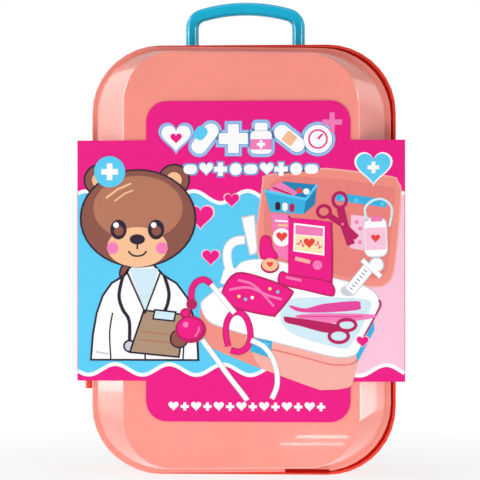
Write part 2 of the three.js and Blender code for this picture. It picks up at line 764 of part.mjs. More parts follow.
function sleeveFrontPanel() {
  const shape = new THREE.Shape();
  shape.moveTo(cardHalfWidth, sleeveLowZ);
  shape.lineTo(cardHalfWidth, sleeveHighZ);
  shape.lineTo(tabRight, sleeveHighZ);
  shape.absarc(tabRight - tabCorner, tabHighZ - tabCorner, tabCorner, 0, Math.PI / 2);
  shape.absarc(-tabLeft + tabCorner, tabHighZ - tabCorner, tabCorner, Math.PI / 2, Math.PI);
  shape.lineTo(-tabLeft, sleeveHighZ);
  shape.lineTo(-cardHalfWidth, sleeveHighZ);
  shape.lineTo(-cardHalfWidth, sleeveLowZ);
  shape.lineTo(-tabLeft, sleeveLowZ);
  shape.absarc(-tabLeft + tabCorner, tabLowZ + tabCorner, tabCorner, Math.PI, 1.5 * Math.PI);
  shape.absarc(tabRight - tabCorner, tabLowZ + tabCorner, tabCorner, 1.5 * Math.PI, 2 * Math.PI);
  shape.lineTo(tabRight, sleeveLowZ);
  return plateFront(shape, cardFrontY + sleeveCard, sleeveCard, 0, 10);
}

function sleeveWing(side, nearY, farY) {
  const innerX = side * cardInnerX;
  const outerX = side * cardHalfWidth;
  return block([Math.min(innerX, outerX), Math.min(nearY, farY), sleeveLowZ],
    [Math.max(innerX, outerX), Math.max(nearY, farY), sleeveHighZ]);
}

// The die-cut window leaves the latch free to swing through the sleeve.
function latchWindow() {
  return block([cardInnerX - overrun, seamY - latchWindowFront, middleZ - latchWindowHigh / 2],
    [cardHalfWidth + overrun, seamY + latchWindowRear, middleZ + latchWindowHigh / 2]);
}

function sleeveFront() {
  const left = sleeveWing(-1, cardFrontY, seamY - sleeveHingeSlitFront);
  const right = sleeveWing(1, cardFrontY, seamY - seatGap);
  const body = cut(joined(sleeveFrontPanel(), left, right), latchWindow());
  return piece('card_sleeve_front', body, colours.card, 0.5);
}

function sleeveRear() {
  const panel = block([-cardHalfWidth, cardRearY - sleeveCard, sleeveLowZ],
    [cardHalfWidth, cardRearY, sleeveHighZ]);
  const left = sleeveWing(-1, seamY - sleeveHingeSlitRear, cardRearY);
  const right = sleeveWing(1, seamY + seatGap, cardRearY);
  return piece('card_sleeve_rear', cut(joined(panel, left, right), latchWindow()), colours.card, 0.5);
}

// Tray: a flange that lies on the tub's ledge, with one moulded well for each tool.
const trayFaceY = ledgeY - wall - seatGap - trayWall;

function placeOf(tool) {
  const [shareX, shareZ] = placeShares[tool];
  return [shareX * trayHalfWidth, middleZ + shareZ * trayHalfHeight];
}

const floorOf = (sunk) => trayFaceY + sunk - seatGap;
const syringeTotal = nozzleLength + syringeLength + thumbRise + thumbThick + plungerTravel;
const scissorHalfHigh = (bladeLength + shankLength + ringOuter) / 2;
const bulbReach = bulbDrop + bulbLength / 2;

// Each well's outline: half width, half height, depth, and a shift of its middle from the tool's own.
function wellSizes() {
  return {
    monitor: [monitorWidth / 2, monitorHeight / 2, monitorSunk, 0],
    stethoscope: [stethoscopeWidth / 2, stethoscopeHeight / 2, stethoscopeSunk, 0],
    syringe: [syringeFlange, (syringeTotal + plungerEndRoom) / 2, syringeSunk, plungerEndRoom / 2],
    scissors: [ringSpread + ringOuter, scissorHalfHigh, scissorThick + seatGap, 0],
    scope: [scopeHeadRadius + scopeConeLength / 2, scopeLength / 2, scopeSunk, 0],
    hammer: [hammerHeadWidth / 2, smallToolLength / 2, hammerSunk, 0],
    tweezers: [tweezerSpread / 2, smallToolLength / 2, smallToolSunk, 0],
    scalpel: [scalpelWidth / 2, smallToolLength / 2, smallToolSunk, 0],
    thermometer: [thermometerWidth / 2, smallToolLength / 2, smallToolSunk, 0],
    gauge: [gaugeRadius, (gaugeRadius + bulbReach) / 2, gaugeSunk, (gaugeRadius - bulbReach) / 2],
    bottle: [bottleWidth / 2, (bottleHeight + capHeight + seatGap) / 2, bottleSunk,
      (capHeight + seatGap) / 2],
  };
}

function well([halfX, halfZ, sunk, shiftZ], [x, z], grow, frontY, backY) {
  const [wide, high] = [halfX + toolGap + grow, halfZ + toolGap + grow];
  const corner = Math.min(pocketCorner, (halfX + toolGap) / 2) + grow;
  const shape = roundedRect(wide, high, corner, x, z + shiftZ);
  return plateFront(shape, backY(sunk), backY(sunk) - frontY);
}

function tray() {
  const corner = cornerRadius - wall - trayEdgeGap;
  const flange = plateFront(roundedRect(trayHalfWidth, trayHalfHeight, corner, 0, middleZ),
    trayFaceY + trayWall, trayWall, 0, cornerSteps);
  const wells = Object.entries(wellSizes());
  const cups = wells.map(([tool, sizes]) => (
    well(sizes, placeOf(tool), trayWall, trayFaceY + trayWall / 2, (sunk) => trayFaceY + sunk + trayWall)));
  const hollows = wells.map(([tool, sizes]) => (
    well(sizes, placeOf(tool), 0, trayFaceY - overrun, (sunk) => trayFaceY + sunk)));
  return piece('tray', cut(joined(flange, ...cups), ...hollows), colours.white, 0.35);
}

// Heart monitor
function monitor() {
  const [x, z] = placeOf('monitor');
  const backY = floorOf(monitorSunk);
  const frontY = backY - monitorThick;
  const screenZ = z + screenInset;
  const screenX = x - screenInset;
  const body = plateFront(roundedRect(monitorWidth / 2, monitorHeight / 2, monitorCorner, x, z),
    backY, monitorThick, monitorBevel);
  const hollow = roundedRect(screenWidth / 2, screenHeight / 2, monitorCorner / 2, screenX, screenZ);
  const recess = plateFront(hollow, frontY + screenRecess, screenRecess + overrun);
  const columnX = (screenX + screenWidth / 2 + x + monitorWidth / 2) / 2;
  const keys = [-1, 0, 1].map((row) => (
    rodY(keyRadius, frontY - keyRise, 2 * keyRise, columnX, screenZ + row * keySpacing, 14)));
  const screen = plateFront(roundedRect(screenWidth / 2 - seatGap, screenHeight / 2 - seatGap,
    monitorCorner / 2 - seatGap, screenX, screenZ), frontY + screenRecess - seatGap, screenPlate);
  const vents = [-1, 0, 1].map((row) => {
    const lowZ = (z - monitorHeight / 2 + screenZ - screenHeight / 2) / 2 + row * 2 * keyRise;
    return block([x - keySpacing, frontY - overrun, lowZ - keyRise / 2],
      [x + keySpacing, frontY + keyRise, lowZ + keyRise / 2]);
  });
  return [piece('monitor_body', cut(joined(body, ...keys), recess, ...vents), colours.pink, 0.25),
    piece('monitor_screen', screen, colours.screen, 0.15)];
}

// Stethoscope
function stethoscope() {
  const [x, z] = placeOf('stethoscope');
  const backY = floorOf(stethoscopeSunk);
  const lineY = backY - earTipRadius;
  const [wide, high] = [stethoscopeWidth / 2, stethoscopeHeight / 2];
  const chestX = x + wide - chestRadius;
  const chestZ = z - high + chestRadius;
  const yokeZ = z + high * yokeShare;
  const neckX = chestX - chestRadius - seatGap;
  const hoseStart = yokeZ - yokeHeight / 2 - seatGap;
  const hosePoints = hoseShares.map(([shareX, shareZ]) => (
    [x + shareX * wide, lineY, z + shareZ * high]));
  const lead = 2 * hoseRadius;
  const route = [[x, lineY, hoseStart], [x, lineY, hoseStart - lead], ...hosePoints,
    [neckX - lead, lineY, chestZ], [neckX, lineY, chestZ]];
  const frames = [-1, 1].map((side) => [[x + side * yokeWidth / 4, lineY, yokeZ],
    ...frameShares.map(([shareX, shareZ]) => (
      [x + side * shareX * wide, lineY, z + shareZ * high]))]);
  const yoke = plateFront(roundedRect(yokeWidth / 2, yokeHeight / 2, yokeWidth / 4, x, yokeZ),
    lineY + yokeThick / 2, yokeThick, toolEdge);
  const binaural = joined(yoke, ...frames.map((points) => tube(points, frameRadius, 16)));
  const tips = frames.map((points, number) => {
    const [tipX, tipY, tipZ] = points[points.length - 1];
    const ball = solid(new THREE.SphereGeometry(earTipRadius, 12, 8).translate(tipX, tipY, tipZ));
    const tip = cut(ball, tube(points, frameRadius + seatGap, 16));
    return piece(['ear_tip_left', 'ear_tip_right'][number], tip, colours.white, 0.4);
  });
  const cup = turnedY([[0, backY], [chestRadius - chestRim, backY], [chestRadius, backY - chestRim],
    [chestRadius, backY - chestThick / 2], [chestRadius / 2, backY - chestThick], [0, backY - chestThick]],
  chestX, 0, chestZ, 24);
  return [piece('stethoscope_frame', binaural, colours.pink, 0.3), ...tips,
    piece('stethoscope_hose', tube(route, hoseRadius, 22), colours.white, 0.4),
    piece('stethoscope_chest_piece', cup, colours.pink, 0.3)];
}

// Syringe
function syringe() {
  const [x, middle] = placeOf('syringe');
  const lowZ = middle - syringeTotal / 2;
  const y = floorOf(syringeSunk) - syringeFlange;
  const shoulderZ = lowZ + nozzleLength;
  const topZ = shoulderZ + syringeLength;
  const boreFloor = shoulderZ + 2 * plungerGap + nozzleRadius;
  const barrel = turnedZ([[0, lowZ], [nozzleRadius * nozzleTipShare, lowZ], [nozzleRadius, shoulderZ],
    [syringeRadius, shoulderZ + nozzleRadius], [syringeRadius, topZ - syringeFlangeThick],
    [syringeFlange, topZ - syringeFlangeThick], [syringeFlange, topZ], [syringeBore, topZ],
    [syringeBore, boreFloor], [0, boreFloor]], x, y, 0);
  const sealZ = boreFloor + plungerGap;
  const sealRadius = syringeBore - plungerGap;
  const thumbZ = topZ + thumbRise;
  const plunger = turnedZ([[0, sealZ], [sealRadius, sealZ], [sealRadius, sealZ + sealLength],
    [plungerRod, sealZ + sealLength], [plungerRod, thumbZ], [thumbRadius, thumbZ],
    [thumbRadius, thumbZ + thumbThick], [0, thumbZ + thumbThick]], x, y, 0);
  return [piece('syringe_barrel', barrel, colours.clear, 0.1),
    piece('syringe_plunger', plunger, colours.pink, 0.3)];
}

// Scissors: two alike halves, one turned over, on a rivet.
function scissorHalf(side, x, z, backY) {
  const half = bladeWidth / 2;
  const tipHalf = half / 3;
  const bladePoints = [[-half, -half], [half, -half], [half, bladeLength / 2],
    [side * tipHalf + tipHalf, bladeLength], [side * tipHalf - tipHalf, bladeLength], [-half, bladeLength / 2]];
  const blade = outline(bladePoints.map(([px, pz]) => [x + px, z + pz]));
  const ringX = x + side * ringSpread;
  const ringZ = z - shankLength;
  const lean = ringSpread - ringOuter / 2;
  const shankLow = ringOuter / 2 - shankLength;
  const shankPoints = [[-half, 0], [half, 0], [lean + half, shankLow], [lean - half, shankLow]];
  const shank = outline(shankPoints.map(([px, pz]) => [x + side * px, z + pz]));
  const loop = disc(ringOuter, ringX, ringZ);
  const holeY = backY - scissorThick - overrun;
  const hole = rodY(ringInner, holeY, scissorThick + 2 * overrun, ringX, ringZ, 20);
  const plates = [blade, shank].map((shape) => plateFront(shape, backY, scissorThick));
  const bore = rodY(rivetRadius + pinGap, holeY, scissorThick + 2 * overrun, x, z, 14);
  return cut(joined(...plates, plateFront(loop, backY, scissorThick, 0, 24)), hole, bore);
}

function scissors() {
  const [x, middle] = placeOf('scissors');
  const z = middle + (shankLength + ringOuter - bladeLength) / 2;
  const backY = floorOf(scissorThick + seatGap);
  const frontBackY = backY - scissorThick - seatGap;
  const headY = frontBackY - scissorThick - seatGap;
  const rivet = turnedY([[0, backY], [rivetRadius, backY], [rivetRadius, headY], [rivetHead, headY],
    [rivetHead / 2, headY - rivetHeadThick], [0, headY - rivetHeadThick]], x, 0, z, 14);
  return [piece('scissors_rear_half', scissorHalf(-1, x, z, backY), colours.pink, 0.3),
    piece('scissors_front_half', scissorHalf(1, x, z, frontBackY), colours.pink, 0.3),
    piece('scissors_rivet', rivet, colours.white, 0.3)];
}

// Reflex hammer: a three-cornered head on a round shaft.
function hammer() {
  const [x, middle] = placeOf('hammer');
  const backY = floorOf(hammerSunk);
  const y = backY - hammerThick / 2;
  const topZ = middle + smallToolLength / 2;
  const lowZ = middle - smallToolLength / 2;
  const [half, round] = [hammerHeadWidth / 2, hammerShaftRadius];
  const head = new THREE.Shape();
  head.moveTo(x - half + round, topZ);
  head.quadraticCurveTo(x - half, topZ, x - half, topZ - round);
  head.lineTo(x - round, topZ - hammerHeadHeight + round);
  head.quadraticCurveTo(x, topZ - hammerHeadHeight, x + round, topZ - hammerHeadHeight + round);
  head.lineTo(x + half, topZ - round);
  head.quadraticCurveTo(x + half, topZ, x + half - round, topZ);
  const shaft = turnedZ([[0, lowZ], [hammerGripRadius, lowZ], [hammerGripRadius, middle],
    [hammerShaftRadius, middle + round], [hammerShaftRadius, topZ - round], [0, topZ - round]], x, y, 0, 14);
  const socket = rodZ(hammerShaftRadius + seatGap, lowZ, topZ - round + seatGap - lowZ, x, y, 14);
  const body = cut(plateFront(head, backY, hammerThick, toolEdge), socket);
  return [piece('hammer_head', body, colours.pinkLight, 0.4), piece('hammer_shaft', shaft, colours.white, 0.3)];
}

function tweezers() {
  const [x, middle] = placeOf('tweezers');
  const [half, arm, high] = [tweezerSpread / 2, tweezerArm, smallToolLength / 2];
  const waistZ = middle - high * waistShare;
  const lowZ = middle - high;
  const highZ = middle + high;
  const points = [[x - half + arm, lowZ], [x - half, waistZ], [x - arm, highZ], [x + arm, highZ],
    [x + half, waistZ], [x + half - arm, lowZ], [x + half - 2 * arm + seatGap, lowZ],
    [x + half - arm, waistZ], [x, highZ - 2 * tweezerSpread], [x - half + arm, waistZ],
    [x - half + 2 * arm - seatGap, lowZ]];
  const body = plateFront(outline(points), floorOf(smallToolSunk), tweezerThick);
  return piece('tweezers', body, colours.pinkLight, 0.3);
}

function scalpel() {
  const [x, middle] = placeOf('scalpel');
  const [half, high] = [scalpelWidth / 2, smallToolLength / 2];
  const neckZ = middle - high + scalpelBladeLength;
  const backY = floorOf(smallToolSunk);
  const topZ = middle + high;
  const gripShape = roundedRect(half, (topZ - neckZ) / 2, half / 2, x, (topZ + neckZ) / 2);
  const grip = plateFront(gripShape, backY, scalpelThick, toolEdge);
  const blade = new THREE.Shape();
  blade.moveTo(x - half / 2, neckZ + half);
  blade.lineTo(x - half, neckZ - half);
  blade.quadraticCurveTo(x - half, middle - high, x + half, middle - high);
  blade.lineTo(x + half / 2, neckZ + half);
  const edge = plateFront(blade, backY - scalpelThick / 4, scalpelThick / 2);
  return piece('scalpel', joined(grip, edge), colours.pink, 0.3);
}

function thermometer() {
  const [x, middle] = placeOf('thermometer');
  const [half, high] = [thermometerWidth / 2, smallToolLength / 2];
  const backY = floorOf(smallToolSunk);
  const gripLow = middle - high + thermometerTip;
  const topZ = middle + high;
  const gripShape = roundedRect(half, (topZ - gripLow) / 2, half / 2, x, (topZ + gripLow) / 2);
  const grip = plateFront(gripShape, backY, thermometerThick, toolEdge);
  const probe = rodZ(half / 2, middle - high, thermometerTip + half, x, backY - thermometerThick / 2, 12);
  const window = plateFront(roundedRect(half / 2, thermometerTip / 2, half / 4, x, middle + thermometerTip),
    backY - thermometerThick + thermometerRecess, thermometerRecess + overrun);
  return piece('thermometer', cut(joined(grip, probe), window), colours.white, 0.3);
}

// Ear scope: a round handle, and a head with its cone turned to the side.
function scope() {
  const [x, middle] = placeOf('scope');
  const backY = floorOf(scopeSunk);
  const y = backY - scopeHeadRadius;
  const lowZ = middle - scopeLength / 2;
  const topZ = middle + scopeLength / 2;
  const headZ = topZ - scopeHeadRadius;
  const neckZ = headZ - scopeHeadRadius - seatGap;
  const handleX = x + scopeConeLength / 2;
  const grip = scopeHandleRadius;
  const handle = turnedZ([[0, lowZ], [grip - toolEdge, lowZ], [grip, lowZ + toolEdge], [grip, middle],
    [scopeNeckRadius, neckZ], [0, neckZ]], handleX, y, 0);
  const half = scopeHeadLength / 2;
  const [tipX, backX, frontX] = [-half - scopeConeLength, -half, half].map((step) => step + handleX);
  const points = [[0, tipX], [scopeTipRadius, tipX], [scopeTipRadius * 2, backX], [scopeHeadRadius, backX],
    [scopeHeadRadius, frontX - toolEdge], [scopeHeadRadius - toolEdge, frontX], [0, frontX]];
  const profile = points.map(([radius, along]) => new THREE.Vector2(radius, along));
  const head = new THREE.LatheGeometry(profile, 18).rotateZ(-Math.PI / 2).translate(0, y, headZ);
  return [piece('scope_handle', handle, colours.white, 0.3),
    piece('scope_head', solid(head), colours.pinkLight, 0.3)];
}

// Blood pressure gauge with its hose and bulb
function gauge() {
  const [x, z] = placeOf('gauge');
  const backY = floorOf(gaugeSunk);
  const frontY = backY - gaugeThick;
  const dialRadius = gaugeRadius - gaugeRim;
  const body = turnedY([[0, backY], [gaugeRadius - toolEdge, backY], [gaugeRadius, backY - toolEdge],
    [gaugeRadius, frontY + toolEdge], [gaugeRadius - toolEdge, frontY], [dialRadius, frontY],
    [dialRadius, frontY + gaugeRecess], [0, frontY + gaugeRecess]], x, 0, z, 26);
  const dialY = frontY + gaugeRecess - seatGap;
  const dial = rodY(dialRadius - seatGap, dialY - dialPlate, dialPlate, x, z, 24);
  const needleY = dialY - dialPlate - seatGap;
  const needlePoints = [[-needleWidth, -needleWidth], [needleWidth, -needleWidth],
    [needleWidth / 4, needleLength], [-needleWidth / 4, needleLength]];
  const needle = plateFront(outline(needlePoints.map(([px, pz]) => [x + px, z + pz])), needleY, needleThick);
  const hoseY = backY - bulbNeck;
  const bulbZ = z - bulbDrop;
  const bulbTop = bulbZ + bulbLength / 2;
  const bulbY = backY - bulbRadius;
  const bellyHalf = bulbLength / 2 - bulbNeck;
  const belly = Array.from({ length: bulbSteps - 1 }, (_, step) => {
    const angle = Math.PI * (step + 1) / bulbSteps;
    return [bulbRadius * Math.sin(angle) ** bulbFullness, bulbZ - Math.cos(angle) * bellyHalf];
  });
  const neck = [[bulbNeck, bulbZ + bellyHalf], [bulbNeck, bulbTop], [0, bulbTop]];
  const profile = [[0, bulbZ - bellyHalf], ...belly, ...neck];
  const bulb = turnedZ(profile, x, bulbY, 0, 18);
  const hoseTop = z - gaugeRadius - seatGap;
  const route = [[x, hoseY, hoseTop], [x, hoseY, hoseTop - bulbNeck],
    [x, (hoseY + bulbY) / 2, (hoseTop + bulbTop) / 2],
    [x, bulbY, bulbTop + bulbNeck], [x, bulbY, bulbTop + seatGap]];
  const hose = tube(route, gaugeHoseRadius, 8);
  return [piece('gauge_body', body, colours.pink, 0.3), piece('gauge_dial', dial, colours.white, 0.4),
    piece('gauge_needle', needle, colours.coral, 0.4), piece('gauge_bulb', bulb, colours.pink, 0.4),
    piece('gauge_hose', hose, colours.white, 0.4)];
}

function bottle() {
  const [x, z] = placeOf('bottle');
  const backY = floorOf(bottleSunk);
  const y = backY - bottleThick / 2;
  const topZ = z + bottleHeight / 2;
  const body = plateFront(roundedRect(bottleWidth / 2, bottleHeight / 2, bottleNeckRadius, x, z),
    backY, bottleThick, bottleBevel);
  const neck = rodZ(bottleNeckRadius, topZ - bottleBevel, bottleNeckHeight + bottleBevel, x, y, 18);
  const capLow = topZ + seatGap;
  const bore = bottleNeckRadius + seatGap;
  const boreTop = topZ + bottleNeckHeight + seatGap;
  const capTop = capLow + capHeight;
  const cap = turnedZ([[bore, capLow], [capRadius, capLow], [capRadius, capTop - capWall],
    [capRadius - capWall, capTop], [0, capTop], [0, boreTop], [bore, boreTop], [bore, capLow]], x, y, 0, 20);
  return [piece('medicine_bottle', joined(body, neck), colours.pinkLight, 0.2),
    piece('bottle_cap', cap, colours.white, 0.3)];
}

// Basket on the lid's inner face, open at the top, with rows of slots in its front.
const lidInnerY = lidFaceY + wall;

function basket() {
  const backY = lidInnerY + seatGap;
  const frontY = backY + basketDepth;
  const highZ = basketLowZ + basketHeight;
  const [leftX, rightX] = [basketCentreX - basketWidth / 2, basketCentreX + basketWidth / 2];
  const [halfWide, halfDeep, middleY] = [basketWidth / 2, basketDepth / 2, (backY + frontY) / 2];
  const outer = plateUp(roundedRect(halfWide, halfDeep, basketWall * 2, basketCentreX, middleY),
    basketLowZ, basketHeight);
  const hollow = roundedRect(halfWide - basketWall, halfDeep - basketWall, basketWall, basketCentreX, middleY);
  const inner = plateUp(hollow, basketLowZ + basketWall, basketHeight);
  const margin = basketWidth * basketMarginShare;
  const slots = Array.from({ length: basketColumns * basketRows }, (_, number) => {
    const column = number % basketColumns;
    const row = Math.floor(number / basketColumns);
    const x = leftX + margin + column * (rightX - leftX - 2 * margin) / (basketColumns - 1);
    const z = basketLowZ + (row + 1) * basketHeight / (basketRows + 1);
    return block([x - basketSlotWidth / 2, frontY - 2 * basketWall, z - basketSlotHeight / 2],
      [x + basketSlotWidth / 2, frontY + overrun, z + basketSlotHeight / 2]);
  });
  const floorZ = basketLowZ + basketWall + seatGap;
  const rollX = leftX + basketWall + rollRadius + seatGap;
  const rollY = backY + basketWall + seatGap + rollRadius;
  const roll = cut(rodZ(rollRadius, floorZ, rollLength, rollX, rollY, 20),
    rodZ(rollBore, floorZ - overrun, rollLength + 2 * overrun, rollX, rollY, 12));
  const boxX = rightX - 2 * basketWall - seatGap - plasterBoxWidth;
  const box = block([boxX, backY + basketWall + seatGap, floorZ],
    [boxX + plasterBoxWidth, backY + basketWall + seatGap + plasterBoxThick, floorZ + plasterBoxHeight]);
  return [piece('tool_basket', cut(outer, inner, ...slots), colours.cyan, 0.3),
    piece('bandage_roll', roll, colours.white, 0.8), piece('plaster_box', box, colours.white, 0.5)];
}

// Hook rail, and what hangs on its hooks
const railBackY = lidInnerY + seatGap;
const hookX = (number) => railLeft + railWidth * (number + 0.5) / hookCount;
const hookTopZ = railLowZ + hookArm;

function hookRail() {
  const armY = railBackY + railThick;
  const [halfWide, halfHigh] = [railWidth / 2, railHeight / 2];
  const plate = plateFront(roundedRect(halfWide, halfHigh, railThick, railLeft + halfWide, railLowZ + halfHigh),
    armY, railThick);
  const [rootY, endY, tipZ] = [armY - railThick / 2, armY + hookReach, railLowZ + hookTip];
  const profile = outline([[rootY, railLowZ], [endY, railLowZ], [endY, tipZ], [endY - hookArm, tipZ],
    [endY - hookArm, hookTopZ], [rootY, hookTopZ]]);
  const hooks = Array.from({ length: hookCount }, (_, number) => (
    plateRight(profile, hookX(number) - hookWidth / 2, hookWidth)));
  return piece('hook_rail', joined(plate, ...hooks), colours.cyan, 0.3);
}

// A hanger tab with a slot that a hook passes through; the slot's top rests on the hook.
function hanger(x, middleY, thick) {
  const holeTop = hookTopZ + seatGap;
  const lowZ = holeTop + hangerThick - hangerHeight;
  const shape = roundedRect(hangerWidth / 2, hangerHeight / 2, hangerCorner, x, lowZ + hangerHeight / 2);
  const hole = block([x - hangerHoleWide / 2, middleY - thick, railLowZ - hookTip - seatGap],
    [x + hangerHoleWide / 2, middleY + thick, holeTop]);
  return { tab: plateFront(shape, middleY + thick / 2, thick), hole, lowZ };
}

function dripBottle() {
  const x = hookX(1);
  const middleY = railBackY + railThick + hookReach / 2;
  const { tab, hole, lowZ } = hanger(x, middleY, hangerThick);
  const shoulder = dripWidth / 3;
  const topZ = lowZ + hangerOverlap;
  const shape = roundedRect(dripWidth / 2, dripHeight / 2, shoulder, x, topZ - dripHeight / 2);
  const bag = plateFront(shape, middleY + dripThick / 2, dripThick, dripBevel);
  const port = rodZ(dripPortRadius, topZ - dripHeight - dripPortLength / 2, dripPortLength, x, middleY, 14);
  return piece('drip_bottle', cut(joined(bag, tab, port), hole), colours.clear, 0.15);
}

function nameBadge() {
  const x = hookX(3);
  const middleY = railBackY + railThick + hookReach / 2;
  const { tab, hole, lowZ } = hanger(x, middleY, badgeThick);
  const middleBadge = lowZ + hangerOverlap - badgeHeight / 2;
  const shape = roundedRect(badgeWidth / 2, badgeHeight / 2, badgeCorner, x, middleBadge);
  const card = plateFront(shape, middleY + badgeThick / 2, badgeThick);
  return piece('name_badge', cut(joined(card, tab), hole), colours.white, 0.5);
}

const toyCase = new THREE.Group();
toyCase.add(tubShell(), lidShell(), ...hingePins(), latch(), latchPin(), carryHandle(), ...handlePins());
toyCase.add(sleeveFront(), sleeveRear(), tray(), ...monitor(), ...stethoscope(), ...syringe(), ...scissors());
toyCase.add(...hammer(), tweezers(), scalpel(), thermometer(), ...scope(), ...gauge(), ...bottle());
toyCase.add(...basket(), hookRail(), dripBottle(), nameBadge());

export default toyCase;
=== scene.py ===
"""Toy doctor case in a card sleeve: finishes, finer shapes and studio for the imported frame."""
import json
import math

import bmesh
import bpy
from bpy.props import FloatProperty, FloatVectorProperty, PointerProperty
from mathutils import Matrix, Vector


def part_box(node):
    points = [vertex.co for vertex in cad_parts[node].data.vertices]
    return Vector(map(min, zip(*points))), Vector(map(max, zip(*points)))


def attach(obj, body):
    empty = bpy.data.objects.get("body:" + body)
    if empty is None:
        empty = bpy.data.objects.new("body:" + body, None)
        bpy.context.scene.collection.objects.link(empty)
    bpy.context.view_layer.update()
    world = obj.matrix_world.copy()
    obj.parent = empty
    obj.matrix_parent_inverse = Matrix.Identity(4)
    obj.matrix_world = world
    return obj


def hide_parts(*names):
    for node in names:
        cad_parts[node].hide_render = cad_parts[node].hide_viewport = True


bl_info = {
    "name": "Toy doctor case",
    "version": (1, 0, 0),
    "blender": (4, 5, 0),
    "location": "3D View > Sidebar > Case",
    "description": "Dresses the frame of a toy doctor case and sets up its studio",
    "category": "Object",
}

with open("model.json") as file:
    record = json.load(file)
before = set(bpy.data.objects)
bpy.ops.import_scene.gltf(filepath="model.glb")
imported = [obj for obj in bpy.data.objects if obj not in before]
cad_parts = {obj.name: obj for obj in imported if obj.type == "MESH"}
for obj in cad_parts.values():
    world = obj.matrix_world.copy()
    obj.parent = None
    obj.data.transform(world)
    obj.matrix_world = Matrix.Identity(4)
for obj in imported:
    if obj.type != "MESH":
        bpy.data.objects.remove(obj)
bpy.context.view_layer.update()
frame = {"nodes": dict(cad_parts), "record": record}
SLOT_OF = {row["node"]: row["material_slot"] for row in frame["record"]["subparts"]}
BODY_OF = {node: body for body, members in frame["record"]["behaviour"]["bodies"].items() for node in members}
MM = 0.001
WHITE = (1, 1, 1, 1)


def linear(hex_colour):
    """The scene-linear RGBA of an sRGB hex colour."""
    parts = [int(hex_colour[place:place + 2], 16) / 255 for place in (1, 3, 5)]
    return tuple(p / 12.92 if p <= 0.04045 else ((p + 0.055) / 1.055) ** 2.4 for p in parts) + (1.0,)


def rgba(colour):
    """The colour with full opacity."""
    return (*colour[:3], 1.0)


# Sizes and colours that a user would change

def length(name, description, default):
    return FloatProperty(name=name, description=description, default=default * MM, unit="LENGTH")


def colour(name, description, default):
    return FloatVectorProperty(name=name, description=description, default=linear(default)[:3], size=3,
                               subtype="COLOR", min=0, max=1)


def strength(name, description, default, unit="NONE"):
    return FloatProperty(name=name, description=description, default=default, min=0, unit=unit)


class CaseSizes(bpy.types.PropertyGroup):
    """Sizes of the finer shapes."""
    handle_width: length("Handle width", "Outer width of the carry handle", 95.3)
    handle_leg: length("Handle leg", "Width of the handle's legs", 10.2)
    handle_thick: length("Handle thickness", "Thickness of the handle from front to back", 9.4)
    handle_grip: length("Handle grip", "Height of the grip's section", 10.2)
    handle_corner: length("Handle corner", "Outer radius of the handle's corners", 16)
    handle_crown: length("Handle crown", "Outer radius of the grip's gentle arch", 132)
    handle_edge: length("Handle edge", "Rounding along the handle's edges", 3.6)
    handle_foot: length("Handle foot", "Height of the legs' lower ends above the handle's lowest point", 4)
    handle_hub: length("Handle hub", "Radius of the hubs on the handle's pins", 3.9)
    handle_pin: length("Handle pins", "Height of the handle's pins above the table", 335)
    bead_reach: length("Bead reach", "Half width of the bead round the tub's groove", 117.7)
    bead_corner: length("Bead corner", "Outer radius of the bead's corners", 51.7)
    bead_height: length("Bead height", "Height of the bead on the tray's flange", 1.6)
    bead_width: length("Bead width", "Width of the bead", 3)
    fold_radius: length("Fold radius", "Outer radius of the card sleeve's folds", 0.5)
    card_thick: length("Card", "Thickness of the sleeve's card", 0.8)
    ink_step: length("Ink step", "Distance from one layer of print to the next", 0.04)
    wave_length: length("Wave length", "Length of one wave on the sleeve's borders", 42)
    wave_height: length("Wave height", "Height of a wave above its middle", 4.6)
    wave_line: length("Wave line", "Width of the white wave line", 2.9)


class CaseColours(bpy.types.PropertyGroup):
    """Colours of the plastics and inks."""
    peach: colour("Lid peach", "Translucent peach of the lid", "#fd9688")
    # Painted shade and glow: the tub is of the lid's peach plastic, and this coral is redder than the peach
    # to stand for the red shade and the light glowing through the tub's rim
    coral: colour("Tub coral", "Coral of the rear half", "#f2503e")
    # Painted shade: the bead's deep coral stands for the shade in the groove between the shells
    coral_groove_shade: colour("Deep coral", "The bead in the groove round the tub's rim", "#d81a10")
    cyan: colour("Cyan", "Handle, basket, rail and latch", "#02c2ec")
    white: colour("White", "Tray and white tools", "#f1f0ee")
    pink: colour("Pink", "Hot pink tools", "#e8227f")
    pink_light: colour("Light pink", "Pale pink tools", "#f27bb0")
    card: colour("Card", "Hot pink print of the sleeve", "#eb1584")
    sky: colour("Sky", "Sky-blue field", "#5acaf2")
    blush: colour("Blush", "Light pink field", "#f8c4da")


class CaseStudio(bpy.types.PropertyGroup):
    """Studio settings."""
    key: strength("Left light", "Power of the soft light on the left", 4.4, "POWER")
    sheen: strength("Side sheen", "Power of the lights that the long sides reflect", 7, "POWER")
    streak: strength("Streaks", "Share of the strip lights that draw bright lines", 0.8)
    low: strength("Low light", "Power of the low light in front of the case", 0.8, "POWER")
    front: strength("Front light", "Power of the light behind the camera", 2.0, "POWER")
    fill: strength("Fill", "Strength of the room's light", 0.21)
    mirror: strength("Reflected room", "Brightness of the room in reflections", 0.6)
    lens: strength("Lens", "Focal length in millimetres on a 36 mm sensor", 170.9)


# The camera's place, and the point that it looks at
CAMERA_PLACE = Vector((119.8, -1810.8, 185)) * MM
CAMERA_AIM = Vector((-2.8, -15, 185)) * MM


# Materials: each is built from nodes on Object coordinates, which are in metres

# A Mix node's colour sockets share their names with others, so they go by number
COLOUR_A, COLOUR_B, COLOUR_OUT = 6, 7, 2
WAVE_PITCH = 20    # A wave texture turns through this many radians for each unit of its scale


def add_node(tree, kind, inputs=None, output=None, **settings):
    """Adds one node with its settings; an input is a socket to link or a value to set. It gives the output
    that is asked for, or else the node."""
    node = tree.nodes.new(kind)
    for name, value in settings.items():
        setattr(node, name, value)
    for socket, value in (inputs or {}).items():
        if isinstance(value, bpy.types.NodeSocket):
            tree.links.new(value, node.inputs[socket])
        else:
            node.inputs[socket].default_value = value
    return node if output is None else node.outputs[output]


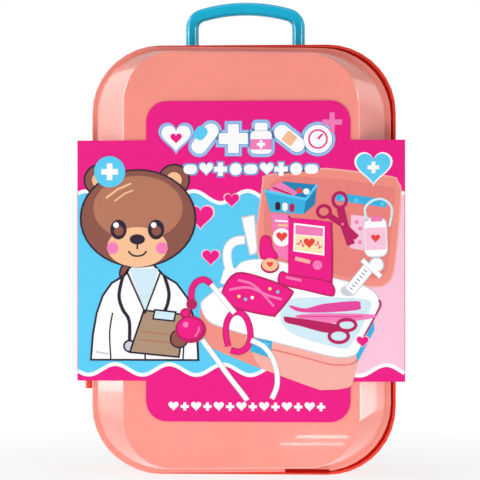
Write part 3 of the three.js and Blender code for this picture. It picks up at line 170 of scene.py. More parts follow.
def start_material(name):
    material = bpy.data.materials.new(name)
    material.use_nodes = True
    material.node_tree.nodes.clear()
    tree = material.node_tree
    return material, tree, add_node(tree, "ShaderNodeTexCoord", output="Object")


def finish_material(material, tree, surface):
    add_node(tree, "ShaderNodeOutputMaterial", {"Surface": surface})
    return material


def lumps(size_mm):
    """The scale at which noise has lumps about size_mm across."""
    return 1 / (size_mm * MM)


def scaled(colour, amount):
    """The colour made darker or lighter."""
    return tuple(min(1.0, part * amount) for part in colour[:3]) + (1.0,)


def moulded_plastic(name, tint, roughness=0.3, coat=0.0, subsurface=0.0, depth_mm=2.0, swirl=0.05,
                    ripple_mm=0.05, cast=0.0):
    """Injection-moulded plastic: an even colour with faint flow marks, a skin that is not quite flat, which
    breaks up long reflections, and a fine mould texture. Cast is how far reflections take on its colour."""
    material, tree, place = start_material(name)
    flow = add_node(tree, "ShaderNodeTexNoise", {"Vector": place, "Scale": lumps(35)}, "Fac")
    marks = add_node(tree, "ShaderNodeMapRange", {
        "Value": flow, "From Min": 0.35, "From Max": 0.65}, "Result")
    tone = add_node(tree, "ShaderNodeMix", {
        "Factor": marks, COLOUR_A: scaled(tint, 1 - swirl), COLOUR_B: scaled(tint, 1 + swirl / 2)},
        COLOUR_OUT, data_type="RGBA")
    ripples = add_node(tree, "ShaderNodeTexNoise", {"Vector": place, "Scale": lumps(22)}, "Fac")
    skin = add_node(tree, "ShaderNodeBump", {
        "Height": ripples, "Strength": 0.35, "Distance": ripple_mm * MM}, "Normal")
    sparks = add_node(tree, "ShaderNodeTexNoise", {"Vector": place, "Scale": lumps(0.4)}, "Fac")
    texture = add_node(tree, "ShaderNodeBump", {
        "Height": sparks, "Strength": 0.12, "Distance": 0.02 * MM, "Normal": skin}, "Normal")
    gloss = add_node(tree, "ShaderNodeMapRange", {
        "Value": flow, "From Min": 0.3, "From Max": 0.7, "To Min": roughness * 0.85,
        "To Max": roughness * 1.15}, "Result")
    depth = {"Subsurface Weight": subsurface, "Subsurface Radius": (1.0, 0.3, 0.2),
             "Subsurface Scale": depth_mm * MM} if subsurface else {}
    surface = add_node(tree, "ShaderNodeBsdfPrincipled", {
        "Base Color": tone, "Roughness": gloss, "IOR": 1.49, "Coat Weight": coat, "Coat Roughness": 0.04,
        "Coat Normal": skin, "Specular Tint": tuple(1 - cast + cast * part for part in tint[:3]) + (1.0,),
        "Normal": texture, **depth}, "BSDF")
    return finish_material(material, tree, surface)


def clear_plastic(name, tint, roughness=0.08):
    """Clear moulded polystyrene: see-through with a bluish edge and small ripples in the reflections."""
    material, tree, place = start_material(name)
    ripples = add_node(tree, "ShaderNodeTexNoise", {"Vector": place, "Scale": lumps(8)}, "Fac")
    skin = add_node(tree, "ShaderNodeBump", {
        "Height": ripples, "Strength": 0.3, "Distance": 0.06 * MM}, "Normal")
    haze = add_node(tree, "ShaderNodeTexNoise", {"Vector": place, "Scale": lumps(12)}, "Fac")
    gloss = add_node(tree, "ShaderNodeMapRange", {
        "Value": haze, "From Min": 0.3, "From Max": 0.7, "To Min": roughness,
        "To Max": roughness * 2}, "Result")
    surface = add_node(tree, "ShaderNodeBsdfPrincipled", {
        "Base Color": rgba(tint), "Roughness": gloss, "IOR": 1.45, "Transmission Weight": 0.72,
        "Normal": skin}, "BSDF")
    return finish_material(material, tree, surface)


def printed_card(name, tint, roughness=0.42):
    """Offset print on coated card: solid ink with a faint mottle, satin varnish and the card's fine tooth."""
    material, tree, place = start_material(name)
    mottle = add_node(tree, "ShaderNodeTexNoise", {
        "Vector": place, "Scale": lumps(1.4), "Detail": 3.0}, "Fac")
    marks = add_node(tree, "ShaderNodeMapRange", {
        "Value": mottle, "From Min": 0.35, "From Max": 0.65}, "Result")
    tone = add_node(tree, "ShaderNodeMix", {
        "Factor": marks, COLOUR_A: scaled(tint, 0.975), COLOUR_B: scaled(tint, 1.02)},
        COLOUR_OUT, data_type="RGBA")
    fibres = add_node(tree, "ShaderNodeTexNoise", {"Vector": place, "Scale": lumps(0.5)}, "Fac")
    tooth = add_node(tree, "ShaderNodeBump", {
        "Height": fibres, "Strength": 0.1, "Distance": 0.02 * MM}, "Normal")
    warp = add_node(tree, "ShaderNodeTexNoise", {"Vector": place, "Scale": lumps(60), "Detail": 0.0}, "Fac")
    bow = add_node(tree, "ShaderNodeBump", {
        "Height": warp, "Strength": 0.3, "Distance": 0.25 * MM, "Normal": tooth}, "Normal")
    varnish = add_node(tree, "ShaderNodeMapRange", {
        "Value": mottle, "From Min": 0.3, "From Max": 0.7, "To Min": roughness,
        "To Max": roughness + 0.1}, "Result")
    surface = add_node(tree, "ShaderNodeBsdfPrincipled", {
        "Base Color": tone, "Roughness": varnish, "IOR": 1.46, "Specular IOR Level": 0.16,
        "Normal": bow}, "BSDF")
    return finish_material(material, tree, surface)


def drawn_steel(name, tint):
    """Drawn steel wire: grey metal with fine scratches along it."""
    material, tree, place = start_material(name)
    along = add_node(tree, "ShaderNodeMapping", {"Vector": place, "Scale": (1, 1, 0.05)}, "Vector")
    scratches = add_node(tree, "ShaderNodeTexNoise", {
        "Vector": along, "Scale": lumps(0.3), "Detail": 4.0}, "Fac")
    bump = add_node(tree, "ShaderNodeBump", {
        "Height": scratches, "Strength": 0.2, "Distance": 0.02 * MM}, "Normal")
    polish = add_node(tree, "ShaderNodeMapRange", {
        "Value": scratches, "From Min": 0.3, "From Max": 0.7, "To Min": 0.25, "To Max": 0.4}, "Result")
    surface = add_node(tree, "ShaderNodeBsdfPrincipled", {
        "Base Color": tint, "Metallic": 1.0, "Roughness": polish, "Normal": bump}, "BSDF")
    return finish_material(material, tree, surface)


def gauze(name, tint, thread_mm=1.7756):
    """Cotton gauze bandage: matt off-white with a grid of threads, drawn coarse enough to show."""
    material, tree, place = start_material(name)
    pitch = math.tau / (WAVE_PITCH * thread_mm * MM)
    threads = [add_node(tree, "ShaderNodeTexWave", {"Vector": place, "Scale": pitch, "Distortion": 0.6},
                        "Fac", wave_type="BANDS", bands_direction=way) for way in ("X", "Z")]
    grid = add_node(tree, "ShaderNodeMath", {0: threads[0], 1: threads[1]}, "Value", operation="ADD")
    cover = add_node(tree, "ShaderNodeMapRange", {"Value": grid, "From Min": 0.5, "From Max": 1.5}, "Result")
    tone = add_node(tree, "ShaderNodeMix", {
        "Factor": cover, COLOUR_A: scaled(tint, 0.86), COLOUR_B: rgba(tint)}, COLOUR_OUT, data_type="RGBA")
    bump = add_node(tree, "ShaderNodeBump", {"Height": grid, "Strength": 0.5, "Distance": 0.1 * MM}, "Normal")
    surface = add_node(tree, "ShaderNodeBsdfPrincipled", {
        "Base Color": tone, "Roughness": 0.9, "Sheen Weight": 0.3, "Normal": bump}, "BSDF")
    return finish_material(material, tree, surface)


INKS = {"white": "#fbfafc", "cyan": "#35b0de", "cyan_deep": "#2181b4", "glow": "#a9c9f2",
        "outline": "#2a1c30", "brown": "#8a5347", "brown_light": "#b4765c", "tan": "#ab8e76",
        "skin": "#f6bf95", "peach": "#f08f82", "peach_light": "#f6aea4", "salmon": "#e8817a",
        "crimson": "#b81b5c", "magenta": "#e2449a", "sun_light": "#fbe6b4", "rose": "#f27cb8",
        "ice": "#cfe8f2", "grey": "#c8ccd6", "periwinkle": "#6d9fdc", "red": "#e8433c", "sun": "#f9d27c"}


def make_finishes(colours):
    """A material for each slot of the record, for the painted shade of the nail slot and of the groove's
    bead, and for each ink.
    """
    made = {
        # Glossy polypropylene, a little translucent, so that edges glow warm
        "lid_peach": moulded_plastic("polypropylene_peach_moulded", colours.peach, 0.2, 0.5, 0.2, 2.5,
                                     ripple_mm=0.02, cast=0.4),
        # Painted shade and glow: the tub's coral is redder than the lid's peach to stand for the shade and
        # the backlit glow of its rim
        "tub_coral": moulded_plastic("polypropylene_coral_painted_shade_and_glow", colours.coral, 0.25, 0, 0.7, 4, cast=0.7),
        # Painted shade: a dark red for the plate that stands for the shadow in the nail slot
        "maroon": moulded_plastic("painted_shade_maroon_slot", linear("#a00c08"), 0.6, 0, 0.2, 2,
                                  cast=0.9),
        # Painted shade: a deep coral for the bead, standing for the shade in the groove
        "coral_groove_shade": moulded_plastic("polypropylene_coral_painted_groove_shade", colours.coral_groove_shade, 0.45, 0, 0.3, 3,
                                      cast=0.9),
        "cyan": moulded_plastic("polypropylene_cyan_moulded", colours.cyan, 0.2, 0.5, cast=0.9),
        # Polystyrene, hard and opaque, so that the toys look brighter and flatter than the shells
        "white": moulded_plastic("polystyrene_white_moulded", colours.white, 0.38, swirl=0.02),
        "pink": moulded_plastic("polystyrene_pink_moulded", colours.pink, 0.25, 0.3),
        "pink_light": moulded_plastic("polystyrene_light_pink_moulded", colours.pink_light, 0.28, 0.2),
        "clear": clear_plastic("polystyrene_clear_moulded", linear("#e6f1f5")),
        "screen": moulded_plastic("styrene_screen_sheet_gloss", linear("#bfe6ef"), 0.12, 0.5, swirl=0.02),
        "card": printed_card("card_hot_pink_offset_print", colours.card),
        "paper": gauze("cotton_gauze_woven", linear("#f4f1e8")),
        "steel": drawn_steel("steel_wire_drawn", linear("#b9bcc2")),
    }
    inks = {"sky": colours.sky, "blush": colours.blush, "hot": colours.card}
    inks.update((ink, linear(tint)) for ink, tint in INKS.items())
    for ink, tint in inks.items():
        made["ink_" + ink] = printed_card("ink_" + ink + "_offset_print", tint)
    return made


FINISHES = {}
SHARP = 32


# Modelling helpers

def clean(bm, merge_mm=0.02):
    bmesh.ops.remove_doubles(bm, verts=bm.verts, dist=merge_mm * MM)
    bmesh.ops.recalc_face_normals(bm, faces=bm.faces)


def only_verts(geometry):
    return [item for item in geometry if isinstance(item, bmesh.types.BMVert)]


def only_edges(geometry):
    return [item for item in geometry if isinstance(item, bmesh.types.BMEdge)]


def mesh_object(name, bm):
    mesh = bpy.data.meshes.new(name)
    bm.to_mesh(mesh)
    bm.free()
    made = bpy.data.objects.new(name, mesh)
    bpy.context.scene.collection.objects.link(made)
    return made


def new_piece(name, bm, finish, body, replaces=(), weighted=False):
    """Makes the mesh an object that rides on a body; edges sharper than SHARP degrees stay crisp."""
    for face in bm.faces:
        face.smooth = True
    for edge in bm.edges:
        edge.smooth = not edge.is_manifold or edge.calc_face_angle(0) < math.radians(SHARP)
    piece = mesh_object(name, bm)
    piece.data.materials.append(FINISHES[finish])
    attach(piece, body)
    if replaces:
        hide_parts(*replaces)
    if weighted:
        modifier = piece.modifiers.new("even_shading", "WEIGHTED_NORMAL")
        modifier.keep_sharp = True


def merged_copy(node):
    """A copy of a node's mesh with its loose triangles joined and its flat faces whole."""
    bm = bmesh.new()
    bm.from_mesh(frame["nodes"][node].data)
    bmesh.ops.remove_doubles(bm, verts=bm.verts, dist=0.02 * MM)
    bmesh.ops.dissolve_degenerate(bm, edges=bm.edges, dist=0.004 * MM)
    bmesh.ops.dissolve_limit(bm, angle_limit=math.radians(1), verts=bm.verts, edges=bm.edges)
    bmesh.ops.recalc_face_normals(bm, faces=bm.faces)
    return bm


def round_edges(bm, width_mm, segments, least=28, chosen=None):
    """Rounds the edges that turn by more than least degrees, or those of them that are chosen."""
    edges = [edge for edge in bm.edges if edge.is_manifold and edge.calc_face_angle(0) > math.radians(least)
             and (chosen is None or chosen(edge))]
    if edges and width_mm:
        bmesh.ops.bevel(bm, geom=edges, offset=width_mm * MM, offset_type="OFFSET", segments=segments,
                        profile=0.5, affect="EDGES", clamp_overlap=True, material=-1)


def round_corners(bm, verts, radius, segments):
    """Rounds the corners of a flat outline."""
    bmesh.ops.bevel(bm, geom=verts, offset=radius, offset_type="OFFSET", segments=segments, profile=0.5,
                    affect="VERTICES", material=-1)


def finer_copies(rows):
    """Nodes' shapes with rounded edges, in their places; a row is a node, a rounding in mm and segments."""
    for node, width, segments in rows:
        bm = merged_copy(node)
        round_edges(bm, width, segments)
        slot = SLOT_OF[node]
        new_piece(node + "_finished", bm, slot, BODY_OF[node], (node,), weighted=True)


# Shells

# The middle of the dark plate that paints the nail slot's shade, with its height above the lid's lowest
# point, and its size, in mm
NAIL_SLOT_SHADE_PLACE, NAIL_SLOT_SHADE_SIZE = (50.6, -20.1, 2.3), (35, 0.3, 3)


class CASE_OT_shells(bpy.types.Operator):
    """Makes the lid, tub and tray with rounded edges, the bead round the tray's flange in a deep coral that
    paints the groove's shade, and a dark plate that paints the nail slot's shade.
    """
    bl_idname = "case.shells"
    bl_label = "Shells"

    def execute(self, context):
        finer_copies((("lid_shell", 0.9, 3), ("tub_shell", 0.7, 3), ("tray", 0.5, 2)))
        self.groove_shade_bead(context.scene.case_sizes)
        self.nail_slot_shade()
        return {"FINISHED"}

    def groove_shade_bead(self, sizes):
        """A rounded frame that fills the groove between the shells, in a deep coral that paints the groove's
        shade.
        """
        low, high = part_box("tray")
        reach = Vector((sizes.bead_reach, 0, (high.z - low.z) / 2 + sizes.bead_reach - high.x))
        place = Matrix.Translation((0, low.y - 0.02 * MM, (low.z + high.z) / 2))
        bm = bmesh.new()
        bmesh.ops.create_grid(bm, x_segments=1, y_segments=1, size=1,
                              matrix=place @ Matrix.Rotation(math.pi / 2, 4, "X")
                              @ Matrix.Diagonal((reach.x, reach.z, 1, 1)))
        round_corners(bm, bm.verts[:], sizes.bead_corner, 28)
        bmesh.ops.inset_region(bm, faces=bm.faces[:], thickness=sizes.bead_width, use_even_offset=True,
                               use_boundary=True)
        middle = max(bm.faces, key=lambda face: face.calc_area())
        bmesh.ops.delete(bm, geom=[middle], context="FACES")
        raised = bmesh.ops.extrude_face_region(bm, geom=bm.faces[:], use_keep_orig=True)["geom"]
        bmesh.ops.translate(bm, verts=only_verts(raised), vec=(0, -sizes.bead_height, 0))
        bmesh.ops.recalc_face_normals(bm, faces=bm.faces)
        new_piece("tub_groove_shade_bead", bm, "coral_groove_shade", "tub")

    def nail_slot_shade(self):
        """A thin dark red plate low on the lid's rim, painted shade that stands for the shadow in the slot
        where a fingernail lifts the lid.
        """
        x, y, rise = NAIL_SLOT_SHADE_PLACE
        place = Vector((x * MM, y * MM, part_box("lid_shell")[0].z + rise * MM))
        size = Matrix.Diagonal((*(part * MM for part in NAIL_SLOT_SHADE_SIZE), 1))
        bm = bmesh.new()
        bmesh.ops.create_cube(bm, size=1, matrix=Matrix.Translation(place) @ size)
        new_piece("lid_nail_slot_shade", bm, "maroon", "lid")


# Handle

class CASE_OT_handle(bpy.types.Operator):
    """Sweeps the carry handle's rounded section up one leg, over the grip and down the other."""
    bl_idname = "case.handle"
    bl_label = "Carry handle"

    def execute(self, context):
        sizes = context.scene.case_sizes
        low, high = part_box("carry_handle")
        half, leg = sizes.handle_width / 2, sizes.handle_leg
        corner, crown = sizes.handle_corner, sizes.handle_crown
        middle_y = (low.y + high.y) / 2
        foot_z = low.z + sizes.handle_foot
        turn = math.acos((half - corner) / (crown - corner))
        crown_z = high.z - crown
        corner_z = crown_z + (crown - corner) * math.sin(turn)
        rise = corner_z - foot_z
        bm = bmesh.new()
        section = Matrix.Translation((leg / 2 - half, middle_y, foot_z))
        bmesh.ops.create_grid(bm, x_segments=1, y_segments=1, size=0.5,
                              matrix=section @ Matrix.Diagonal((leg, sizes.handle_thick, 1, 1)))
        round_corners(bm, bm.verts[:], sizes.handle_edge, 5)
        bmesh.ops.delete(bm, geom=bm.faces[:], context="FACES_ONLY")

        def push(edges, offset):
            grown = bmesh.ops.extrude_edge_only(bm, edges=edges)["geom"]
            bmesh.ops.translate(bm, verts=only_verts(grown), vec=offset)
            return only_edges(grown)

        def sweep(edges, x, z, angle, steps):
            swept = bmesh.ops.spin(bm, geom=edges, cent=(x, middle_y, z), axis=(0, 1, 0), angle=angle,
                                   steps=steps)
            return only_edges(swept["geom_last"])

        def thicken(edges, amount):
            verts = list({v for e in edges for v in e.verts})
            centre = sum((v.co for v in verts), Vector()) / len(verts)
            bmesh.ops.scale(bm, verts=verts, vec=(1, 1, amount), space=Matrix.Translation(-centre))

        ring = push(bm.edges[:], (0, 0, rise))
        ring = sweep(ring, corner - half, corner_z, turn, 14)
        thicken(ring, sizes.handle_grip / leg)
        ring = sweep(ring, 0, crown_z, math.pi - 2 * turn, 12)
        thicken(ring, leg / sizes.handle_grip)
        ring = sweep(ring, half - corner, corner_z, turn, 14)
        push(ring, (0, 0, -rise))
        bmesh.ops.holes_fill(bm, edges=[edge for edge in bm.edges if edge.is_boundary], sides=0)
        self.hubs(bm, half - leg / 2, middle_y, leg - 0.6 * MM, sizes)
        clean(bm)
        round_edges(bm, 0.5, 2, 60)
        new_piece("carry_handle_swept", bm, "cyan", "handle", ("carry_handle",), weighted=True)
        return {"FINISHED"}

    def hubs(self, bm, reach, middle_y, length_x, sizes):
        """The round hubs of the legs, on the handle's pins."""
        for side in (-1, 1):
            place = Matrix.Translation((side * reach, middle_y, sizes.handle_pin))
            bmesh.ops.create_cone(bm, cap_ends=True, segments=32, radius1=sizes.handle_hub,
                                  radius2=sizes.handle_hub, depth=length_x,
                                  matrix=place @ Matrix.Rotation(math.pi / 2, 4, "Y"))


# Sleeve

class CASE_OT_sleeve(bpy.types.Operator):
    """Makes the card sleeve's halves, with rounded folds and crisp cut edges."""
    bl_idname = "case.sleeve"
    bl_label = "Card sleeve"

    def execute(self, context):
        sizes = context.scene.case_sizes
        fold, thick = sizes.fold_radius / MM, sizes.card_thick
        for node, outward in (("card_sleeve_front", -1), ("card_sleeve_rear", 1)):
            low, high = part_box(node)
            bm = merged_copy(node)
            face_y = low.y if outward < 0 else high.y

            round_edges(bm, fold, 4, 28, self.upright_at(high.x, face_y))
            round_edges(bm, fold / 3, 3, 28, self.upright_at(high.x - thick, face_y - outward * thick))
            new_piece(node + "_folded", bm, "card", BODY_OF[node], (node,), weighted=True)
        return {"FINISHED"}

    def upright_at(self, x, y):
        """A test for long upright edges at x on either side, and at y."""
        def chosen(edge):
            first, last = [vert.co for vert in edge.verts]
            return abs(first.z - last.z) > 20 * MM and all(
                abs(abs(co.x) - x) < 0.05 * MM and abs(co.y - y) < 0.1 * MM for co in (first, last))
        return chosen


# Print on the sleeve: flat shapes in a panel's own plane, in millimetres, each a thin closed plate

def print_disc(bm, u, v, radius, sides=36):
    return bmesh.ops.create_circle(bm, cap_ends=True, radius=radius, segments=sides,
                                   matrix=Matrix.Translation((u, v, 0)))["verts"]


def print_box(bm, u, v, width, height, corner=0.0, turn=0.0):
    """A box about its middle, with rounded corners and turned by some degrees."""
    place = Matrix.Translation((u, v, 0)) @ Matrix.Rotation(math.radians(turn), 4, "Z")
    verts = bmesh.ops.create_grid(bm, x_segments=1, y_segments=1, size=0.5,
                                  matrix=place @ Matrix.Diagonal((width, height, 1, 1)))["verts"]
    if corner:
        corner = min(corner, width / 2.01, height / 2.01)
        before = set(bm.verts) - set(verts)
        round_corners(bm, verts, corner, 6)
        verts = [vert for vert in bm.verts if vert not in before]
    return verts


def print_shape(bm, points):
    verts = [bm.verts.new((u, v, 0)) for u, v in points]
    bm.faces.new(verts)
    return verts


def print_ring(bm, u, v, radius, width, sides=36):
    """A band between two circles."""
    place = Matrix.Translation((u, v, 0))
    rims = [bmesh.ops.create_circle(bm, cap_ends=False, radius=size, segments=sides, matrix=place)["verts"]
            for size in (radius, radius - width)]
    edges = {edge for rim in rims for vert in rim for edge in vert.link_edges}
    bmesh.ops.bridge_loops(bm, edges=list(edges))
    return rims[0] + rims[1]


def print_heart(bm, u, v, size, turn=0.0):
    """A heart size wide, about its middle."""
    lean = Matrix.Rotation(math.radians(turn), 2)
    points = []
    for step in range(40):
        t = 2 * math.pi * step / 40
        across = 16 * math.sin(t) ** 3
        up = 13 * math.cos(t) - 5 * math.cos(2 * t) - 2 * math.cos(3 * t) - math.cos(4 * t) + 2.5
        point = lean @ Vector((across * size / 32, up * size / 32))
        points.append((u + point.x, v + point.y))
    return print_shape(bm, points)


def print_plus(bm, u, v, size, arm, turn=0.0):
    """A plus sign size wide, with arms of a given width."""
    half, thin = size / 2, arm / 2
    quarter = [(thin, half), (thin, thin), (half, thin)]
    lean = Matrix.Rotation(math.radians(turn), 2)
    points = []
    for number in range(4):
        quarter_turn = Matrix.Rotation(-number * math.pi / 2, 2)
        points += [lean @ (quarter_turn @ Vector(point)) for point in quarter]
    return print_shape(bm, [(u + p.x, v + p.y) for p in points])


def print_line(bm, width, *points):
    """A stroke of one width along the points."""
    path = [Vector(point) for point in points]
    closed = (path[0] - path[-1]).length < 0.01
    rims = []
    for number, point in enumerate(path):
        before = path[number - 1] if number else (path[-2] if closed else point)
        after = path[number + 1] if number < len(path) - 1 else (path[1] if closed else point)
        first, second = (point - before), (after - point)
        first = first.normalized() if first.length else second.normalized()
        second = second.normalized() if second.length else first
        way = (first + second).normalized() if (first + second).length > 0.1 else first
        reach = width / 2 / max(0.45, way.dot(first))
        side = Vector((-way.y, way.x)) * reach
        rims.append([bm.verts.new((*(point + side), 0)), bm.verts.new((*(point - side), 0))])
    for (a, b), (c, d) in zip(rims, rims[1:]):
        bm.faces.new((a, b, d, c))
    return [vert for rim in rims for vert in rim]


def arc(u, v, radius, start, end, steps=16, flat=1.0):
    """Points along an arc, in degrees; flat squeezes it in height."""
    return [(u + radius * math.cos(math.radians(start + (end - start) * step / steps)),
             v + radius * flat * math.sin(math.radians(start + (end - start) * step / steps)))
            for step in range(steps + 1)]


def oval(u, v, radius, flat):
    """A filled oval's outline."""
    return arc(u, v, radius, 0, 351, 39, flat)


def hoop(u, v, radius, flat):
    """An oval's path that comes back to its start."""
    return arc(u, v, radius, 0, 360, 30, flat)


def smooth(points, closed):
    """The points with three more between each pair, on a rounded path through them."""
    path = []
    count = len(points)
    for number in range(count if closed else count - 1):
        p = [Vector(points[(number + k) % count] if closed else points[max(0, min(count - 1, number + k))])
             for k in (-1, 0, 1, 2)]
        for part in (0, 0.25, 0.5, 0.75):
            path.append(tuple(0.5 * (2 * p[1] + (p[2] - p[0]) * part
                                     + (2 * p[0] - 5 * p[1] + 4 * p[2] - p[3]) * part ** 2
                                     + (3 * p[1] - p[0] - 3 * p[2] + p[3]) * part ** 3)))
    return path if closed else [*path, points[-1]]


PRINTERS = {"disc": print_disc, "box": print_box, "heart": print_heart, "plus": print_plus,
            "line": print_line, "ring": print_ring,
            "shape": lambda bm, *points: print_shape(bm, points),
            "blob": lambda bm, *points: print_shape(bm, smooth(points, True)),
            "curve": lambda bm, width, *points: print_line(bm, width, *smooth(points, False))}


def panel_place(panel):
    """Maps a panel's own plane onto one side of the sleeve, or onto a toy's face that looks into the case."""
    if panel in frame["nodes"]:
        low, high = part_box(panel)
        outward, face_y = (1, high.y) if BODY_OF[panel] == "lid" else (-1, low.y)
        return Matrix(((MM, 0, 0, 0), (0, 0, outward * MM, face_y), (0, MM, 0, 0), (0, 0, 0, 1)))
    low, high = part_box("card_sleeve_rear")
    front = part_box("card_sleeve_front")[0].y
    across, outward, corner = {
        "front": ((1, 0, 0), (0, -1, 0), (0, front, 0)),
        "back": ((-1, 0, 0), (0, 1, 0), (0, high.y, 0)),
        "right": ((0, 1, 0), (1, 0, 0), (high.x, 0, 0)),
        "left": ((0, -1, 0), (-1, 0, 0), (low.x, 0, 0))}[panel]
    columns = [Vector(across) * MM, Vector((0, 0, 1)) * MM, Vector(outward) * MM, Vector(corner)]
    return Matrix([[column[row] for column in columns] for row in range(3)] + [[0, 0, 0, 1]])


INK_LIFT = 0.012    # Height of the first layer of ink above the card, in mm
INK_SHARE = 0.7    # A layer's thickness as a share of the step to the next one


def printed(name, ink, panel, shapes, body, step_mm):
    """One object for an ink on a panel; each shape is (layer, kind, values...)."""
    bm = bmesh.new()
    for layer, kind, *values in shapes:
        before = set(bm.faces)
        PRINTERS[kind](bm, *values)
        faces = [face for face in bm.faces if face not in before]
        for face in faces:
            face.normal_update()
            if face.normal.z < 0:
                face.normal_flip()
        verts = list({vert for face in faces for vert in face.verts})
        bmesh.ops.translate(bm, verts=verts, vec=(0, 0, (layer - 1) * step_mm + INK_LIFT))
        raised = bmesh.ops.extrude_face_region(bm, geom=faces, use_keep_orig=True)["geom"]
        bmesh.ops.translate(bm, verts=only_verts(raised), vec=(0, 0, step_mm * INK_SHARE))
    bmesh.ops.recalc_face_normals(bm, faces=bm.faces)
    bmesh.ops.transform(bm, matrix=panel_place(panel), verts=bm.verts)
    bmesh.ops.recalc_face_normals(bm, faces=bm.faces)
    new_piece(name, bm, "ink_" + ink, body)


def print_inks(start_of_name, panel, rows, body, step_mm):
    """Prints rows of (ink, layer, kind, values...), one object for each ink."""
    for ink in sorted({row[0] for row in rows}):
        shapes = [row[1:] for row in rows if row[0] == ink]
        printed(start_of_name + ink, ink, panel, shapes, body, step_mm)


def wave(start, end, middle, height, period, crest, step=1.0):
    """Points about a step apart along a wave; crest is the place of one of its crests."""
    count = max(2, round((end - start) / step))
    return [(u, middle + height * math.cos(2 * math.pi * (u - crest) / period))
            for u in (start + (end - start) * number / count for number in range(count + 1))]


# The front panel's motifs: rows of (ink, layer, kind, values...), with places and sizes in mm. A header sign
# is drawn once for each ring of its outline: the ring's ink, its layer and how far it grows the sign.
BIG_RINGS = (("periwinkle", 3, 5), ("glow", 4, 3.8), ("periwinkle", 5, 1.6), ("white", 6, 0))
SMALL_RINGS = (("periwinkle", 3, 2.2), ("white", 6, 0))
# Bold white signs with a blue outline, and a row of small ones
HEADER = [
    *[row for ink, layer, grow in BIG_RINGS for row in (
        (ink, layer, "heart", -50, 263.5, 23 + grow),
        (ink, layer, "box", -27.5, 263.5, 12 + grow, 27 + grow, 9, -38),
        (ink, layer, "plus", -5.5, 263.5, 22.5 + grow, 8.6 + grow),
        (ink, layer, "box", 16, 260.5, 16.5 + grow, 18 + grow, 3.5 + grow / 2),
        (ink, layer, "box", 16, 272.5, 10 + grow, 6.5 + grow, 1.5 + grow / 2),
        (ink, layer, "box", 38, 263.5, 27 + grow, 12 + grow, 9, -38),
        (ink, layer, "disc", 60, 263, 11 + grow / 2),
    )],
    ("sky", 7, "box", -30.9, 267.9, 9.4, 11, 4, -38), ("rose", 7, "box", 16, 259, 16.5, 8, 0),
    ("white", 8, "plus", 16, 259, 6.4, 2.2), ("skin", 7, "box", 38, 263.5, 9, 9, 1.5, -38),
    ("hot", 7, "heart", -50, 263.5, 9), ("hot", 7, "ring", 60, 263, 7.6, 1.3),
    ("hot", 8, "line", 1.5, (60, 263), (63.6, 267)), ("rose", 9, "plus", 71, 276, 15.2, 4),
    *[row for ink, layer, grow in SMALL_RINGS for row in (
        *((ink, layer, "box", u, 239.8, 10.6 + grow, 7.4 + grow, 3.6, 0) for u in (-39, 8, 55)),
        *((ink, layer, "heart", u, 239.8, 10.8 + grow) for u in (-26.5, 20.5)),
        *((ink, layer, "plus", u, 239.8, 10.4 + grow, 3.9 + grow) for u in (-15.5, 31.5)),
        *((ink, layer, "disc", u, 239.8, 4.7 + grow / 2) for u in (-3.6, 43.2)),
    )],
]
BADGES = [
    ("sky", 13, "disc", -101.8, 238, 12.2), ("white", 14, "plus", -101.8, 238, 13, 4.4),
    ("white", 6, "heart", 102.8, 239.5, 29.5), ("sky", 7, "heart", 102.8, 239.7, 26.4),
    ("white", 8, "plus", 102.8, 241, 9, 3),
]
HEARTS = [
    *[row for u, v, edge, size in ((-31, 202.3, 22.6, 19.7), (-6.7, 215.5, 13, 11.3), (-23, 171.1, 15, 13.1))
      for row in (("blush", 3, "heart", u, v, edge), ("hot", 4, "heart", u, v, size))],
]
